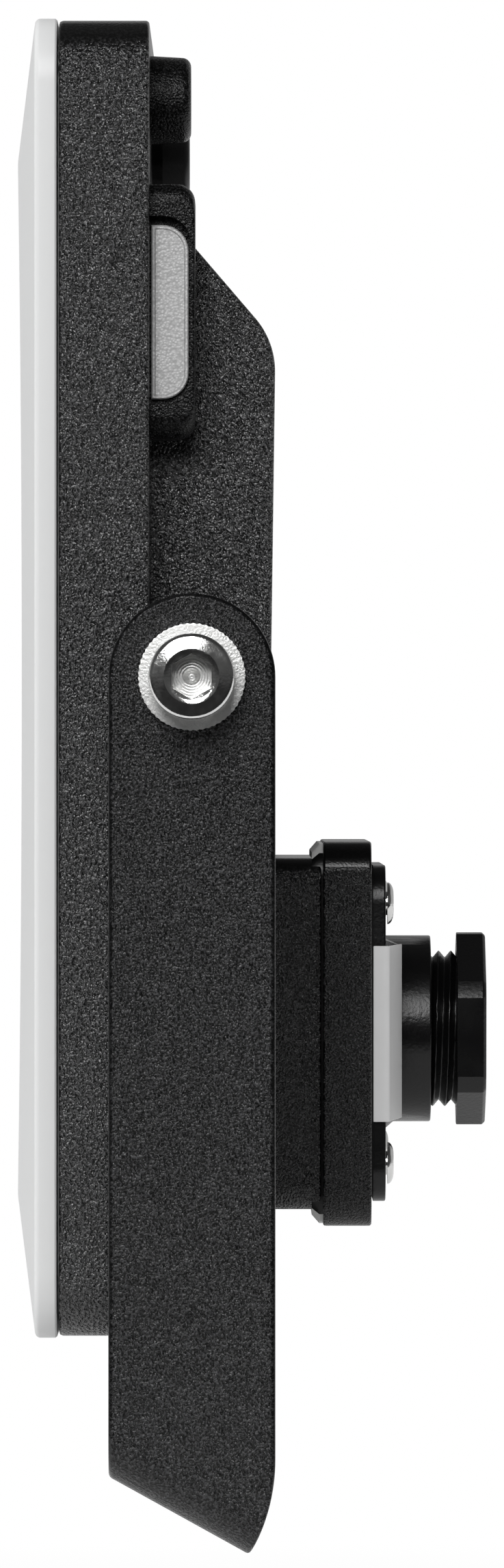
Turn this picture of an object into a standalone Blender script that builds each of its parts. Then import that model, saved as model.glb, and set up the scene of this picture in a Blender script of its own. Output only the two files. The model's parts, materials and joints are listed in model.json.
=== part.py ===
"""LED flood light: a thin cast head with a rear terminal box and cable gland, tilting in a steel yoke.

World frame: X across, Y to the rear, Z up, origin at the middle of the yoke's base, on its underside.
The head is modelled about its tilt axis: every head_... place is measured from there.
"""
import math

import bmesh
import bpy
from mathutils import Matrix, Vector

for old in list(bpy.data.objects):
    bpy.data.objects.remove(old, do_unlink=True)

# Fits and cuts
GAP = 0.0003
OVERRUN = 0.002
SINK = 0.0006

# Head casting: the front tray
HEAD_WIDTH = 0.240
HEAD_HEIGHT = 0.202
HEAD_CORNER_RADIUS = 0.010
TRAY_DEPTH = 0.01382
AXIS_TO_TRAY_BACK = 0.00658
TRAY_EDGE_RADIUS = 0.0015
RIM_WALL = 0.0035
FLOOR_THICKNESS = 0.003

# Head casting: the ribbed heat sink and driver compartment behind the tray
SINK_DEPTH = 0.0193
SINK_SIDE_MARGIN = 0.015
SINK_TOP_MARGIN = 0.0267
SINK_BOTTOM_MARGIN = 0.005
SINK_SLOPE = math.radians(49.4)
SINK_TOP_RADIUS = 0.0125
SINK_DRAFT = 0.0007
SINK_FOOT_CHAMFER = 0.008
SINK_FOOT_RADIUS = 0.004
SINK_EDGE_BEVEL = 0.0009
CORE_WIDTH = 0.096
END_WALL = 0.007
RIB_THICKNESS = 0.0024
RIBS_A_SIDE = 5
RIB_FOOT = 0.0008

# Head casting: driver pocket, pivot lugs, rear pad and the rating plate's seat
POCKET_WALL = 0.004
POCKET_REAR_WALL = 0.0036
POCKET_TOP_MARGIN = 0.025
POCKET_CORNER_RADIUS = 0.004
LUG_RADIUS = 0.0108
LUG_DRAFT = 0.0008
LUG_EDGE = 0.0008
PAD_RADIUS = 0.00645
PAD_HEIGHT = 0.0063
PAD_DRAFT = 0.0004
PAD_EDGE_RADIUS = 0.0014
PAD_TOP_MARGIN = 0.0053
PAD_INSET = 0.007
SEAT_HEIGHT = 0.0390
SEAT_DEPTH = 0.0070
SEAT_RISE = 0.0012
SEAT_STANDOFF = 0.011
SEAT_CORNER_RADIUS = 0.0028
SEAT_TOP_RADIUS = 0.0030
SEAT_BOTTOM_RADIUS = 0.0038
SEAT_TOP_RAIL = 0.0056
SEAT_BOTTOM_RAIL = 0.0046
SEAT_REAR_RIM = 0.0007
SEAT_RECESS = 0.0026

# Front lens, its seal and the light source
LENS_EDGE_DEPTH = 0.0033
LENS_RISE = 0.0030
LENS_BAND = 0.0215
LENS_WALL = 0.0020
LENS_EDGE_RADIUS = 0.0008
SEAL_WIDTH = 0.0012
SEAL_GROOVE_DEPTH = 0.0012
BOARD_THICKNESS = 0.0016
BOARD_MARGIN = 0.0045
BOARD_CORNER_RADIUS = 0.004
LED_SIZE = 0.0036
LED_HEIGHT = 0.0008
LED_COLUMNS = 6
LED_ROWS = 5
LED_SIDE_MARGIN = 0.032
LED_END_MARGIN = 0.037
REFLECTOR_THICKNESS = 0.0008
REFLECTOR_FOOT = 0.006
BOARD_SCREW_MARGIN = 0.033

# Screws, by nominal thread
M3_RADIUS = 0.0015
M3_HEAD_RADIUS = 0.0028
M3_HEAD_HEIGHT = 0.0018
M4_RADIUS = 0.0019
M4_HEAD_RADIUS = 0.00335
M4_HEAD_HEIGHT = 0.0013
SCREW_EDGE = 0.0005
SCREW_SLOT_WIDTH = 0.0009
SCREW_SLOT_DEPTH = 0.0007
BOARD_SCREW_LENGTH = 0.007
DRIVER_SCREW_LENGTH = 0.0042
BOX_SCREW_LENGTH = 0.0050

# Driver
DRIVER_SIDE_CLEARANCE = 0.009
DRIVER_TOP_CLEARANCE = 0.006
DRIVER_ABOVE_BUSH = 0.0149
DRIVER_THICKNESS = 0.0016
DRIVER_STANDOFF = 0.0022
DRIVER_POST_RADIUS = 0.0034
DRIVER_HOLE_INSET = 0.005
CAPACITOR_RADIUS = 0.0052
CAPACITOR_LENGTH = 0.020
CAPACITOR_HEIGHT_SHARE = 0.22
TRANSFORMER_WIDTH = 0.022
TRANSFORMER_HEIGHT = 0.019
TRANSFORMER_DEPTH = 0.0095
TRANSFORMER_HEIGHT_SHARE = -0.08
COIL_RADIUS = 0.0042
CHOKE_RADIUS = 0.0062
CHOKE_BORE_RADIUS = 0.0030
CHOKE_DEPTH = 0.0055
CHOKE_HEIGHT_SHARE = 0.27
DRIVER_COLUMN_SHARES = (-0.23, 0.25)
HEADER_WIDTH = 0.017
HEADER_HEIGHT = 0.0075
HEADER_DEPTH = 0.0075

# Vent plug
VENT_RADIUS = 0.0050
VENT_HEAD_HEIGHT = 0.0057
VENT_EDGE_RADIUS = 0.0008
VENT_STEM_RADIUS = 0.0024
VENT_BORE_RADIUS = 0.0008
VENT_INSET = 0.022
VENT_ABOVE_SINK = 0.0012
VENT_SEAL_WIDTH = 0.0012

# Rating plate
PLATE_THICKNESS = 0.0008
PLATE_MARGIN = 0.0007
PLATE_CORNER_RADIUS = 0.0040

# Terminal box: base, seal, cover
BOX_WIDTH = 0.084
BOX_HEIGHT = 0.0561
BOX_BASE_DEPTH = 0.0063
BOX_WALL = 0.0028
BOX_CORNER_RADIUS = 0.0040
BOX_FLOOR = 0.0022
BOX_POST_RADIUS = 0.0046
BOX_ABOVE_FOOT = 0.00395
BOX_CHEEK = 0.0010
BOX_SEAL_THICKNESS = 0.0012
BOX_SEAL_LIP = 0.0003
BOX_SEAL_CHAMFER = 0.0014
COVER_OVERHANG = 0.0026
COVER_DEPTH = 0.0077
COVER_FACE = 0.0026
COVER_CORNER_RADIUS = 0.0056
COVER_EDGE = 0.0005
COVER_WINDOW_WIDTH = 0.052
COVER_WINDOW_HEIGHT = 0.034
COVER_WINDOW_RADIUS = 0.003
EARTH_SCREW_INSET = 0.011

# Gland plate: screw ears, low pyramid, barrel and threaded spigot
EAR_RADIUS = 0.0061
EAR_HEIGHT = 0.0020
PLATE_EAR_INSET = 0.0003
PLATE_SIDE_MARGIN = 0.0008
PLATE_END_MARGIN = 0.0038
PYRAMID_HEIGHT = 0.0044
PYRAMID_BESIDE_LABEL = 0.0012
PYRAMID_NARROWING = 0.0028
PYRAMID_TOP_WIDTH = 0.034
BARREL_RADIUS = 0.01515
BARREL_REACH = 0.0097
SPIGOT_RADIUS = 0.01265
SPIGOT_WALL = 0.0029
CABLE_WAY_RADIUS = 0.0060
LABEL_THICKNESS = 0.0003
LABEL_TO_EAR = 0.00065
LABEL_REACH_SHARE = 0.94

# Gland nut, thrust ring and grommet
NUT_ACROSS_FLATS = 0.0285
NUT_CORNER_RADIUS = 0.01565
NUT_HEIGHT = 0.0047
NUT_EDGE = 0.0005
NUT_FACE = 0.0009
NUT_MOUTH_RADIUS = 0.0078
NUT_BACKED_OFF = 0.0042
NUT_REST_TURN = math.radians(-4.8)
GLAND_TRAVEL = 0.0020
RING_HEIGHT = 0.0036
RING_BORE_RADIUS = 0.0062
GROMMET_BORE_RADIUS = 0.0046
GROMMET_LENGTH = 0.0062
GROMMET_LIP = 0.0006
GROMMET_LIPS = 2

# Pivot fasteners
PIVOT_BOLT_RADIUS = 0.0040
PIVOT_BOLT_REACH = 0.016
PIVOT_HEAD_RADIUS = 0.0065
PIVOT_HEAD_HEIGHT = 0.0080
PIVOT_HEAD_CHAMFER = 0.0009
HEX_ACROSS_FLATS = 0.0060
HEX_DEPTH = 0.0040
WASHER_RADIUS = 0.0082
WASHER_TOOTH = 0.0007
WASHER_THICKNESS = 0.0012
WASHER_TEETH = 15
HOLE_PLAY = 0.0004

# Yoke
SHEET = 0.003
ARM_WIDTH = 0.0253
SIDE_CLEARANCE = 0.008
BASE_CLEARANCE = 0.0055
BASE_SLANT = math.atan2(11.83, 21.38)
BASE_CENTRE_FORWARD = 0.0021
BEND_RADIUS = 0.006
SWEEP_RADIUS = 0.029
SWEEP_RISE = 0.0088
BASE_HOLE_RADIUS = 0.00525
BASE_SLOT_RADIUS = 0.00375
BASE_SLOT_LENGTH = 0.018
BASE_SLOT_FROM_CENTRE = 0.070

# Wiring
LEAD_RADIUS = 0.0009
LEAD_PITCH = 0.0030
LEAD_HOLE_RADIUS = 0.0055
BUSH_FLANGE_RADIUS = 0.0072
BUSH_FLANGE_THICKNESS = 0.0012
BUSH_BORE_RADIUS = 0.0044
BLOCK_WIDTH = 0.034
BLOCK_HEIGHT = 0.0100
BLOCK_DEPTH = 0.0088
BLOCK_POLES = 3
BLOCK_SCREW_RADIUS = 0.0018
BLOCK_BELOW_AXIS = 0.0155

# Roundness
FINE_STEPS = 40
ROUND_STEPS = 24
SMALL_STEPS = 12
CORNER_STEPS = 4
SEAL_STEPS = 3
SMOOTH_ANGLE = math.radians(35)

# Places in the head's frame, worked out from the sizes above
TRAY_BACK_Y = -AXIS_TO_TRAY_BACK
RIM_Y = TRAY_BACK_Y - TRAY_DEPTH
FLOOR_Y = TRAY_BACK_Y - FLOOR_THICKNESS
SINK_WIDTH = HEAD_WIDTH - 2 * SINK_SIDE_MARGIN
SINK_REAR_Y = TRAY_BACK_Y + SINK_DEPTH
BOX_SEAT_Y = SINK_REAR_Y - SINK_DRAFT
SINK_TOP_Z = HEAD_HEIGHT / 2 - SINK_TOP_MARGIN
SINK_BOTTOM_Z = SINK_BOTTOM_MARGIN - HEAD_HEIGHT / 2
RIB_FOOT_Y = TRAY_BACK_Y + RIB_FOOT
POCKET_REAR_Y = BOX_SEAT_Y - POCKET_REAR_WALL
POCKET_HALF_WIDTH = CORE_WIDTH / 2 - POCKET_WALL
POCKET_TOP_Z = SINK_TOP_Z - POCKET_TOP_MARGIN
POCKET_BOTTOM_Z = SINK_BOTTOM_Z + SINK_FOOT_CHAMFER + POCKET_WALL
YOKE_INNER_HALF = HEAD_WIDTH / 2 + SIDE_CLEARANCE
YOKE_OUTER_HALF = YOKE_INNER_HALF + SHEET
BOX_Z = SINK_BOTTOM_Z + SINK_FOOT_CHAMFER + BOX_ABOVE_FOOT + BOX_HEIGHT / 2
BOX_FRONT_Y = BOX_SEAT_Y + GAP
BOX_FLOOR_Y = BOX_FRONT_Y + BOX_FLOOR
BOX_RIM_Y = BOX_FRONT_Y + BOX_BASE_DEPTH
BOX_SEAL_Y = BOX_RIM_Y + GAP
COVER_FRONT_Y = BOX_SEAL_Y + BOX_SEAL_THICKNESS + GAP
COVER_REAR_Y = COVER_FRONT_Y + COVER_DEPTH
COVER_WIDTH = BOX_WIDTH + 2 * COVER_OVERHANG
COVER_HEIGHT = BOX_HEIGHT + 2 * COVER_OVERHANG
GLAND_PLATE_Y = COVER_REAR_Y + GAP
GLAND_PLATE_WIDTH = COVER_WIDTH - 2 * COVER_OVERHANG - 2 * PLATE_SIDE_MARGIN
GLAND_PLATE_HEIGHT = COVER_HEIGHT - 2 * PLATE_END_MARGIN
BOX_SCREW_X = GLAND_PLATE_WIDTH / 2 - EAR_RADIUS
BOX_SCREW_DZ = GLAND_PLATE_HEIGHT / 2 - EAR_RADIUS
LABEL_HEIGHT = 2 * (BOX_SCREW_DZ - EAR_RADIUS - LABEL_TO_EAR)
PYRAMID_BASE_HEIGHT = LABEL_HEIGHT + 2 * PYRAMID_BESIDE_LABEL
PYRAMID_TOP_HEIGHT = PYRAMID_BASE_HEIGHT - PYRAMID_NARROWING
EAR_TOP_Y = GLAND_PLATE_Y + EAR_HEIGHT
PYRAMID_TOP_Y = GLAND_PLATE_Y + PYRAMID_HEIGHT
BARREL_END_Y = GLAND_PLATE_Y + BARREL_REACH
SPIGOT_BORE_RADIUS = SPIGOT_RADIUS - SPIGOT_WALL
NUT_FRONT_Y = BARREL_END_Y + NUT_BACKED_OFF
NUT_REAR_Y = NUT_FRONT_Y + NUT_HEIGHT
SPIGOT_END_Y = NUT_REAR_Y - NUT_FACE - GLAND_TRAVEL - GAP
RING_REAR_Y = NUT_REAR_Y - NUT_FACE - GAP
GROMMET_REAR_Y = RING_REAR_Y - RING_HEIGHT - GLAND_TRAVEL - GAP
GROMMET_FRONT_Y = GROMMET_REAR_Y - GROMMET_LENGTH
DRIVER_REAR_Y = POCKET_REAR_Y - DRIVER_STANDOFF - GAP
DRIVER_FRONT_Y = DRIVER_REAR_Y - DRIVER_THICKNESS
DRIVER_TOP_Z = POCKET_TOP_Z - DRIVER_TOP_CLEARANCE
DRIVER_WIDTH = 2 * (POCKET_HALF_WIDTH - DRIVER_SIDE_CLEARANCE)
DRIVER_HEIGHT = DRIVER_TOP_Z - BOX_Z - DRIVER_ABOVE_BUSH
DRIVER_CENTRE_Z = DRIVER_TOP_Z - DRIVER_HEIGHT / 2
PART_Y = DRIVER_FRONT_Y - GAP
BOARD_REAR_Y = FLOOR_Y - GAP
BOARD_FRONT_Y = BOARD_REAR_Y - BOARD_THICKNESS
BOARD_WIDTH = HEAD_WIDTH - 2 * RIM_WALL - 2 * BOARD_MARGIN
BOARD_HEIGHT = HEAD_HEIGHT - 2 * RIM_WALL - 2 * BOARD_MARGIN
BOARD_SCREW_X = SINK_WIDTH / 2 - END_WALL / 2
BOARD_SCREW_Z = BOARD_HEIGHT / 2 - BOARD_SCREW_MARGIN
LED_FIELD_WIDTH = BOARD_WIDTH - 2 * LED_SIDE_MARGIN
LED_FIELD_HEIGHT = BOARD_HEIGHT - 2 * LED_END_MARGIN
LENS_REAR_Y = RIM_Y - GAP
VENT_FROM_CENTRE = SINK_WIDTH / 2 - VENT_INSET
VENT_Z = SINK_TOP_Z + VENT_ABOVE_SINK + VENT_RADIUS
PAD_FROM_CENTRE = SINK_WIDTH / 2 - PAD_INSET
PAD_Z = HEAD_HEIGHT / 2 - PAD_TOP_MARGIN - PAD_RADIUS
SEAT_TOP_Z = SINK_TOP_Z + SEAT_RISE
SEAT_FACE_X = SINK_WIDTH / 2 + SEAT_STANDOFF
SEAT_REAR_Y = TRAY_BACK_Y + SEAT_DEPTH
PIVOT_BORE_RADIUS = PIVOT_BOLT_RADIUS + HOLE_PLAY
WASHER_X = YOKE_OUTER_HALF + GAP
PIVOT_HEAD_X = WASHER_X + WASHER_THICKNESS + GAP

# The yoke clears the corner of the lens, which sweeps the largest circle about the axis
HEAD_SWEEP = math.hypot(HEAD_HEIGHT / 2, LENS_REAR_Y - LENS_EDGE_DEPTH)
BASE_DISTANCE = HEAD_SWEEP + BASE_CLEARANCE + SHEET
PIVOT_HEIGHT = (BASE_DISTANCE - BASE_CENTRE_FORWARD * math.sin(BASE_SLANT)) / math.cos(BASE_SLANT)


def material(name, colour, roughness, metallic=0.0):
    """A plain Principled material."""
    made = bpy.data.materials.new(name)
    made.use_nodes = True
    shader = made.node_tree.nodes["Principled BSDF"]
    shader.inputs["Base Color"].default_value = (*colour, 1)
    shader.inputs["Roughness"].default_value = roughness
    shader.inputs["Metallic"].default_value = metallic
    made.diffuse_color = (*colour, 1)
    return made


POWDER_COAT = material("powder_coat", (0.018, 0.018, 0.019), 0.55)
YOKE_COAT = material("yoke_coat", (0.020, 0.020, 0.021), 0.5)
FROSTED = material("frosted_lens", (0.80, 0.81, 0.81), 0.45)
BLACK_PLASTIC = material("black_plastic", (0.012, 0.012, 0.013), 0.3)
ZINC = material("zinc", (0.72, 0.72, 0.70), 0.22, 1.0)
RUBBER = material("rubber", (0.015, 0.015, 0.015), 0.7)
SILVER_FOIL = material("silver_foil", (0.55, 0.55, 0.55), 0.4, 0.7)
PALE_LABEL = material("pale_label", (0.62, 0.62, 0.62), 0.4)
WHITE_BOARD = material("white_board", (0.85, 0.85, 0.83), 0.4)
GREEN_BOARD = material("green_board", (0.03, 0.16, 0.07), 0.4)
FERRITE = material("ferrite", (0.03, 0.03, 0.032), 0.5)
CAN = material("capacitor_can", (0.02, 0.03, 0.06), 0.35)
CLEAR_SEAL = material("silicone", (0.55, 0.55, 0.54), 0.5)
IVORY = material("ivory_plastic", (0.75, 0.72, 0.62), 0.45)
BROWN_LEAD = material("brown_lead", (0.10, 0.035, 0.015), 0.5)
BLUE_LEAD = material("blue_lead", (0.01, 0.05, 0.25), 0.5)
GREEN_LEAD = material("green_lead", (0.10, 0.35, 0.03), 0.5)
RED_LEAD = material("red_lead", (0.45, 0.02, 0.02), 0.5)
BLACK_LEAD = material("black_lead", (0.01, 0.01, 0.01), 0.5)


def empty(name, place, parent=None):
    """An axis or a frame that pieces hang on."""
    made = bpy.data.objects.new(name, None)
    bpy.context.scene.collection.objects.link(made)
    made.parent = parent
    made.location = place
    return made


def place_mesh(name, shape, parent, finish=None, location=(0, 0, 0)):
    """Makes an object from a bmesh, with its faces pointing out and its round parts smooth."""
    bmesh.ops.recalc_face_normals(shape, faces=shape.faces)
    mesh = bpy.data.meshes.new(name)
    shape.to_mesh(mesh)
    shape.free()
    mesh.shade_smooth()
    mesh.set_sharp_from_angle(angle=SMOOTH_ANGLE)
    made = bpy.data.objects.new(name, mesh)
    bpy.context.scene.collection.objects.link(made)
    made.parent = parent
    made.location = location
    if finish:
        mesh.materials.append(finish)
    return made


def guide(made):
    """Marks an object that only shapes others."""
    made.hide_render = True
    made.display_type = "WIRE"
    return made


def combine(target, operation, shape, location=(0, 0, 0)):
    """Adds a shape to the target or cuts it away, with an exact boolean."""
    tool = guide(place_mesh(f"{target.name}_shape", shape, target.parent, location=location))
    step = target.modifiers.new(tool.name, "BOOLEAN")
    step.operation = operation
    step.solver = "EXACT"
    step.object = tool
    return target


def add(target, shape, location=(0, 0, 0)):
    return combine(target, "UNION", shape, location)


def cut(target, shape, location=(0, 0, 0)):
    return combine(target, "DIFFERENCE", shape, location)


def joined(shapes):
    """Several shapes that don't touch, as one."""
    whole = bmesh.new()
    for shape in shapes:
        mesh = bpy.data.meshes.new("joined")
        shape.to_mesh(mesh)
        shape.free()
        whole.from_mesh(mesh)
        bpy.data.meshes.remove(mesh)
    return whole


def arc(centre, radius, start, end, steps):
    """Points along an arc, both ends included."""
    turns = [start + (end - start) * i / steps for i in range(steps + 1)]
    return [(centre[0] + radius * math.cos(t), centre[1] + radius * math.sin(t)) for t in turns]


def rounded_polygon(corners, steps=CORNER_STEPS):
    """A closed outline through (a, b, radius) corners, each rounded by an arc of its radius."""
    outline = []
    for i, (a, b, radius) in enumerate(corners):
        here = Vector((a, b))
        if not radius:
            outline.append((a, b))
            continue
        before = (Vector(corners[i - 1][:2]) - here).normalized()
        after = (Vector(corners[(i + 1) % len(corners)][:2]) - here).normalized()
        half = before.angle(after) / 2
        centre = here + (before + after).normalized() * radius / math.sin(half)
        first = here + before * radius / math.tan(half) - centre
        last = here + after * radius / math.tan(half) - centre
        start = math.atan2(first.y, first.x)
        sweep = first.angle_signed(last)
        outline += arc(centre, radius, start, start - sweep, steps)
    return outline


def rectangle(width, height, radius=0.0, steps=CORNER_STEPS):
    """A centred rectangle with rounded corners."""
    a, b = width / 2, height / 2
    return rounded_polygon([(a, b, radius), (-a, b, radius), (-a, -b, radius), (a, -b, radius)], steps)


def circle(radius, steps=ROUND_STEPS):
    return arc((0, 0), radius, 0, 2 * math.pi * (steps - 1) / steps, steps - 1)


def xz(points, y):
    """An outline in X and Z, at a depth Y."""
    return [Vector((a, y, b)) for a, b in points]


def yz(points, x):
    """An outline in Y and Z, at a distance X."""
    return [Vector((x, a, b)) for a, b in points]


def loft(rings, closed=False):
    """A solid through rings of equally many points, capped at both ends or closed on itself."""
    shape = bmesh.new()
    made = [[shape.verts.new(point) for point in ring] for ring in rings]
    count = len(made[0])
    pairs = list(zip(made, made[1:] + made[:1])) if closed else list(zip(made, made[1:]))
    for low, high in pairs:
        for i in range(count):
            j = (i + 1) % count
            shape.faces.new((low[i], low[j], high[j], high[i]))
    if not closed:
        shape.faces.new(made[0])
        shape.faces.new(made[-1])
    return shape


def prism_y(outline, front, rear):
    return loft([xz(outline, front), xz(outline, rear)])


def prism_x(outline, left, right):
    return loft([yz(outline, left), yz(outline, right)])


def box(low, high):
    """A cuboid between two corners."""
    outline = [(low[0], low[2]), (high[0], low[2]), (high[0], high[2]), (low[0], high[2])]
    return prism_y(outline, low[1], high[1])


def turned_y(profile, steps=ROUND_STEPS, closed=False):
    """A turned solid about Y, through (radius, y) stations; closed joins the last to the first as a ring."""
    return loft([xz(circle(radius, steps), y) for radius, y in profile], closed)


def turned_x(profile, steps=ROUND_STEPS, closed=False):
    """A turned solid about X, through (radius, x) stations."""
    return loft([yz(circle(radius, steps), x) for radius, x in profile], closed)


def frame_y(outer, inner, front, rear):
    """A flat frame between two outlines of equally many points."""
    return loft([xz(outer, front), xz(outer, rear), xz(inner, rear), xz(inner, front)], closed=True)


def moved(shape, offset):
    bmesh.ops.translate(shape, verts=shape.verts, vec=offset)
    return shape


def pan_screw(name, head_radius, head_height, shank_radius, length, place, parent, slot_turn=0.0):
    """A pan-head screw along Y, head to the rear, with a cross recess."""
    profile = [
        (shank_radius - SCREW_EDGE / 2, -length),
        (shank_radius, SCREW_EDGE - length),
        (shank_radius, 0),
        (head_radius, 0),
        (head_radius, head_height / 2),
        (head_radius * math.cos(math.pi / 6), head_height * math.cos(math.pi / 8)),
        (head_radius / 2, head_height),
    ]
    screw = place_mesh(name, turned_y(profile, SMALL_STEPS), parent, ZINC, place)
    arm, half = head_radius / 2, SCREW_SLOT_WIDTH / 2
    for turn in (slot_turn, slot_turn + math.pi / 2):
        slot = box((-arm, head_height - SCREW_SLOT_DEPTH, -half), (arm, head_height + OVERRUN, half))
        bmesh.ops.rotate(slot, verts=slot.verts, matrix=Matrix.Rotation(turn, 3, "Y"))
        cut(screw, slot, place)
    return screw


def front_screw(name, length, place, parent):
    """A small pan-head screw along Y, head to the front, for the boards inside the head."""
    profile = [
        (M3_RADIUS, length),
        (M3_RADIUS, 0),
        (M3_HEAD_RADIUS, 0),
        (M3_HEAD_RADIUS, -M3_HEAD_HEIGHT / 2),
        (M3_HEAD_RADIUS * math.cos(math.pi / 6), -M3_HEAD_HEIGHT),
    ]
    return place_mesh(name, turned_y(profile, SMALL_STEPS), parent, ZINC, place)


def lead(name, points, finish, parent):
    """An insulated lead: a smooth round wire through its points."""
    curve = bpy.data.curves.new(name, "CURVE")
    curve.dimensions = "3D"
    curve.bevel_depth = LEAD_RADIUS
    curve.bevel_resolution = 1
    curve.use_fill_caps = True
    spline = curve.splines.new("POLY")
    smooth = smooth_points([Vector(p) for p in points])
    spline.points.add(len(smooth) - 1)
    for point, place in zip(spline.points, smooth):
        point.co = (*place, 1)
    curve.materials.append(finish)
    made = bpy.data.objects.new(name, curve)
    bpy.context.scene.collection.objects.link(made)
    made.parent = parent
    return made


def smooth_points(points, between=2):
    """A Catmull-Rom curve through the points."""
    padded = [points[0] * 2 - points[1], *points, points[-1] * 2 - points[-2]]
    smooth = []
    for a, b, c, d in zip(padded, padded[1:], padded[2:], padded[3:]):
        for i in range(between):
            t = i / between
            low = (2 * b) + (c - a) * t
            high = (2 * a - 5 * b + 4 * c - d) * t ** 2 + (3 * b - a - 3 * c + d) * t ** 3
            smooth.append((low + high) / 2)
    return [*smooth, points[-1]]


def yoke_side_outline():
    """The arm and base from the side, about the tilt axis: a round top, a straight front and a swept rear."""
    half = ARM_WIDTH / 2
    normal = Vector((-math.sin(BASE_SLANT), -math.cos(BASE_SLANT)))
    sweep_centre = Vector((half - SWEEP_RADIUS, SWEEP_RISE - PIVOT_HEIGHT))
    tip_turn = math.acos((BASE_DISTANCE - normal.dot(sweep_centre)) / SWEEP_RADIUS)
    tip_angle = math.atan2(normal.y, normal.x) + tip_turn
    front_z = (-BASE_DISTANCE + half * math.sin(BASE_SLANT)) / math.cos(BASE_SLANT)
    outline = arc((0, 0), half, math.pi, 0, ROUND_STEPS // 2)
    outline += arc(sweep_centre, SWEEP_RADIUS, 0, tip_angle, CORNER_STEPS)
    return outline + [(-half, front_z)]


def yoke_channel():
    """The bent strip as a long U channel, open upward, square to the slanted base."""
    outer, inner = YOKE_OUTER_HALF, YOKE_INNER_HALF
    reach = PIVOT_HEIGHT + ARM_WIDTH
    inside_radius = BEND_RADIUS - SHEET
    section = rounded_polygon([
        (outer, reach, 0), (-outer, reach, 0), (-outer, 0, BEND_RADIUS), (outer, 0, BEND_RADIUS),
    ])
    window = rounded_polygon([
        (inner, reach + OVERRUN, 0), (-inner, reach + OVERRUN, 0),
        (-inner, SHEET, inside_radius), (inner, SHEET, inside_radius),
    ])
    return prism_y(section, -reach, reach), prism_y(window, -reach - OVERRUN, reach + OVERRUN)


def make_yoke(pivot):
    """The steel yoke with its pivot holes, and a centre hole and two slots in the slanted base."""
    channel, window = yoke_channel()
    slant = Matrix.Rotation(-BASE_SLANT, 3, "X")
    foot = Vector((0, -BASE_CENTRE_FORWARD, -PIVOT_HEIGHT))
    for shape in (channel, window):
        bmesh.ops.rotate(shape, verts=shape.verts, matrix=slant)
        moved(shape, foot)
    yoke = place_mesh("yoke_bracket", channel, pivot, YOKE_COAT)
    cut(yoke, window)
    reach = YOKE_OUTER_HALF + OVERRUN
    combine(yoke, "INTERSECT", prism_x(yoke_side_outline(), -reach, reach))
    cut(yoke, turned_x([(PIVOT_BORE_RADIUS, -reach), (PIVOT_BORE_RADIUS, reach)]))
    slot_half = BASE_SLOT_LENGTH / 2 - BASE_SLOT_RADIUS
    slot = arc((slot_half, 0), BASE_SLOT_RADIUS, -math.pi / 2, math.pi / 2, CORNER_STEPS)
    slot += arc((-slot_half, 0), BASE_SLOT_RADIUS, math.pi / 2, 3 * math.pi / 2, CORNER_STEPS)
    holes = [(0, circle(BASE_HOLE_RADIUS, SMALL_STEPS))]
    holes += [(side * BASE_SLOT_FROM_CENTRE, slot) for side in (-1, 1)]
    for x, outline in holes:
        hole = loft([[Vector((a, b, z)) for a, b in outline] for z in (-OVERRUN, SHEET + OVERRUN)])
        bmesh.ops.rotate(hole, verts=hole.verts, matrix=slant)
        cut(yoke, moved(hole, foot + Vector((x, 0, 0))))
    return yoke


def sink_outline():
    """The heat sink from the side: a sloped top, a rounded shoulder, a flat rear and a chamfered foot."""
    run = SINK_REAR_Y - FLOOR_Y - FLOOR_THICKNESS / 2
    start_y = SINK_REAR_Y - run
    top_z = SINK_TOP_Z + (TRAY_BACK_Y - start_y) * math.tan(SINK_SLOPE)
    shoulder_z = top_z - run * math.tan(SINK_SLOPE)
    foot_z = SINK_BOTTOM_Z + SINK_FOOT_CHAMFER
    return rounded_polygon([
        (start_y, top_z, 0),
        (start_y, SINK_BOTTOM_Z, 0),
        (TRAY_BACK_Y, SINK_BOTTOM_Z, 0),
        (BOX_SEAT_Y, foot_z, SINK_FOOT_RADIUS),
        (BOX_SEAT_Y, 0, 0),
        (SINK_REAR_Y, shoulder_z, SINK_TOP_RADIUS),
    ])


def make_sink():
    """The ribbed block behind the tray, with a solid core in the middle and a thick wall at each end."""
    half = SINK_WIDTH / 2
    outline = sink_outline()
    shape = prism_x(outline, -half, half)
    ends = [e for e in shape.edges if abs(e.verts[0].co.x - e.verts[1].co.x) < SINK]
    rear = [e for e in ends if min(v.co.y for v in e.verts) > TRAY_BACK_Y - SINK]
    bmesh.ops.bevel(shape, geom=rear, offset=SINK_EDGE_BEVEL, segments=1, affect="EDGES")
    return shape


def rib_slots():
    """The gaps between the ribs, as (low x, high x) on both sides of the core."""
    inner, outer = CORE_WIDTH / 2, SINK_WIDTH / 2 - END_WALL
    width = (outer - inner - RIBS_A_SIDE * RIB_THICKNESS) / (RIBS_A_SIDE + 1)
    starts = [inner + i * (width + RIB_THICKNESS) for i in range(RIBS_A_SIDE + 1)]
    return [(x, x + width) for x in starts] + [(-x - width, -x) for x in starts]


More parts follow.
